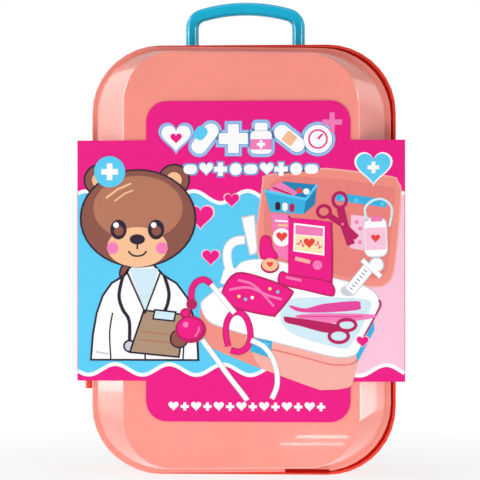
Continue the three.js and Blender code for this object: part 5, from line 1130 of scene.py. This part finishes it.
class CASE_OT_stage(bpy.types.Operator):
    """Sets up the camera, the white room, the floor and the soft lights."""
    bl_idname = "case.stage"
    bl_label = "Studio"

    def execute(self, context):
        studio = context.scene.case_studio
        self.camera(context, studio)
        self.room(context, studio)
        self.floor()
        self.lights(context, studio)
        return {"FINISHED"}

    def camera(self, context, studio):
        camera = bpy.data.objects.new("camera", bpy.data.cameras.new("camera"))
        context.scene.collection.objects.link(camera)
        camera.data.lens = studio.lens
        camera.data.sensor_width = 36
        camera.location = CAMERA_PLACE
        camera.rotation_euler = (CAMERA_AIM - camera.location).to_track_quat("-Z", "Y").to_euler()
        camera.data.clip_end = 20
        context.scene.camera = camera
        context.scene.view_settings.view_transform = "Standard"

    def room(self, context, studio):
        """White to the eye and through clear plastic, dimmer in reflections, and dimmer still as light."""
        world = context.scene.world or bpy.data.worlds.new("studio")
        context.scene.world = world
        world.use_nodes = True
        tree = world.node_tree
        tree.nodes.clear()
        rays = add_node(tree, "ShaderNodeLightPath")
        seen = add_node(tree, "ShaderNodeMath", {
            0: rays.outputs["Is Camera Ray"], 1: rays.outputs["Is Transmission Ray"]}, 0, operation="MAXIMUM")
        room, mirror, white = [
            add_node(tree, "ShaderNodeBackground", {"Color": WHITE, "Strength": power}, 0)
            for power in (studio.fill, studio.mirror, 1.0)]
        mixed = add_node(tree, "ShaderNodeMixShader", {
            0: rays.outputs["Is Glossy Ray"], 1: room, 2: mirror}, 0)
        mixed = add_node(tree, "ShaderNodeMixShader", {0: seen, 1: mixed, 2: white}, 0)
        add_node(tree, "ShaderNodeOutputWorld", {"Surface": mixed})

    def floor(self):
        bm = bmesh.new()
        bmesh.ops.create_circle(bm, cap_ends=True, radius=1.6, segments=64)
        floor = mesh_object("floor", bm)
        floor.data.materials.append(self.floor_material())

    def floor_material(self):
        """Matt opal table lit from below: white to the eye, with the case's soft shadow near its feet."""
        material, tree, place = start_material("opal_acrylic_table_matt")
        fibres = add_node(tree, "ShaderNodeTexNoise", {"Vector": place, "Scale": lumps(3)}, "Fac")
        tone = add_node(tree, "ShaderNodeMix", {
            "Factor": fibres, COLOUR_A: linear("#efefef"), COLOUR_B: linear("#f6f6f6")},
            COLOUR_OUT, data_type="RGBA")
        opal = add_node(tree, "ShaderNodeBsdfDiffuse", {"Color": tone, "Roughness": 0.5}, 0)
        glow = add_node(tree, "ShaderNodeEmission", {"Color": WHITE, "Strength": 1.0}, 0)
        eye = add_node(tree, "ShaderNodeLightPath").outputs["Is Camera Ray"]
        distance = add_node(tree, "ShaderNodeVectorMath", {0: place}, "Value", operation="LENGTH")
        away = add_node(tree, "ShaderNodeMapRange", {
            "Value": distance, "From Min": 0.15, "From Max": 0.45, "To Min": 0.8, "To Max": 1.0}, "Result")
        share = add_node(tree, "ShaderNodeMath", {0: eye, 1: away}, 0, operation="MULTIPLY")
        seen = add_node(tree, "ShaderNodeMixShader", {0: share, 1: opal, 2: glow}, 0)
        brightness = add_node(tree, "ShaderNodeMapRange", {
            "Value": distance, "From Min": 0.1, "From Max": 0.7, "To Min": 1.05, "To Max": 1.25}, "Result")
        lit = add_node(tree, "ShaderNodeEmission", {"Color": WHITE, "Strength": brightness}, 0)
        mixed = add_node(tree, "ShaderNodeMixShader", {0: eye, 1: lit, 2: seen}, 0)
        return finish_material(material, tree, mixed)

    def lights(self, context, studio):
        """Area lights: name, place, aim, width and height in metres, and power."""
        key, sheen, streak = studio.key, studio.sheen, studio.streak
        wall_aim = (0.102, -0.034, 0.05)
        lights = (
            ("left_softbox", (-0.85, -0.8, 0.12), (-0.05, 0, 0.14), (0.6, 1.1), key),
            ("left_rear_softbox", (-1.2, 0.35, 0.55), (-0.1, 0, 0.17), (1.0, 1.2), sheen),
            ("left_low_softbox", (-0.9, 0.2, 0.07), (-0.1, 0, 0.07), (0.5, 0.12), sheen * 0.16),
            ("right_rear_softbox", (1.35, 0.85, 0.45), (0.1, 0, 0.2), (0.9, 1.1), sheen * 0.6),
            ("right_softbox", (1.3, -0.9, 0.5), (0.1, 0, 0.17), (0.5, 1.2), key * 0.7),
            ("left_edge_strip", (-0.72, -0.54, 0.2), (-0.1, 0, 0.17), (0.3, 1.2), streak * 11),
            ("right_edge_strip", (0.74, -0.5, 0.25), (0.1, 0, 0.17), (0.2, 1.2), streak * 2.4),
            *[(side + "_handle_strip", (x, -0.8, 0.45), (0, 0, 0.35), (0.12, 0.12), streak * 1.8)
              for side, x in (("left", -0.56), ("right", 0.56))],
            ("wall_strip_wide", (0.388, 0.059, 0.029), wall_aim, (0.0136, 0.052), streak * 0.019),
            ("wall_strip_core", (0.3893, 0.0549, 0.029), wall_aim, (0.002, 0.052), streak * 0.009),
            ("table_strip_near", (0.045, -0.337, 0.0015), (0.052, -0.05, 0.03), (0.058, 0.0018),
             streak * 0.009),
            ("table_strip_far", (0.051, -0.413, 0.0015), (0.05, -0.05, 0.034), (0.05, 0.0022),
             streak * 0.011),
            ("top_softbox", (0, -0.3, 1.5), (0, 0, 0.3), (1.2, 0.8), key),
            ("low_softbox", (0, -0.6, 0.02), (0, 0, 0.06), (0.7, 0.05), studio.low),
            ("front_softbox", (0.3, -2.6, 1.0), (0, 0, 0.2), (3.4, 2.4), studio.front))
        for name, place, aim, size, power in lights:
            lamp = bpy.data.lights.new(name, "AREA")
            lamp.shape = "RECTANGLE"
            lamp.size, lamp.size_y = size
            lamp.energy = power
            light = bpy.data.objects.new(name, lamp)
            context.scene.collection.objects.link(light)
            light.location = place
            light.visible_glossy = name not in ("low_softbox", "front_softbox")
            light.visible_diffuse = not name.endswith(("edge_strip", "handle_strip"))
            light.rotation_euler = (Vector(aim) - Vector(place)).to_track_quat("-Z", "Y").to_euler()


class CASE_PT_panel(bpy.types.Panel):
    """Lists the steps in the 3D view's sidebar."""
    bl_label = "Toy doctor case"
    bl_idname = "CASE_PT_panel"
    bl_space_type = "VIEW_3D"
    bl_region_type = "UI"
    bl_category = "Case"

    def draw(self, context):
        for step in STEPS:
            self.layout.operator(step.bl_idname)


STEPS = (CASE_OT_stage, CASE_OT_shells, CASE_OT_handle, CASE_OT_sleeve, CASE_OT_artwork, CASE_OT_fittings,
         CASE_OT_tools)
CLASSES = (CaseSizes, CaseColours, CaseStudio, *STEPS, CASE_PT_panel)


def register():
    for item in CLASSES:
        bpy.utils.register_class(item)
    bpy.types.Scene.case_sizes = PointerProperty(type=CaseSizes)
    bpy.types.Scene.case_colours = PointerProperty(type=CaseColours)
    bpy.types.Scene.case_studio = PointerProperty(type=CaseStudio)


def unregister():
    del bpy.types.Scene.case_studio
    del bpy.types.Scene.case_colours
    del bpy.types.Scene.case_sizes
    for item in reversed(CLASSES):
        bpy.utils.unregister_class(item)


def main():
    register()
    FINISHES.update(make_finishes(bpy.context.scene.case_colours))
    for step in STEPS:
        group, name = step.bl_idname.split(".")
        getattr(getattr(bpy.ops, group), name)()


if __name__ == "__main__":
    main()
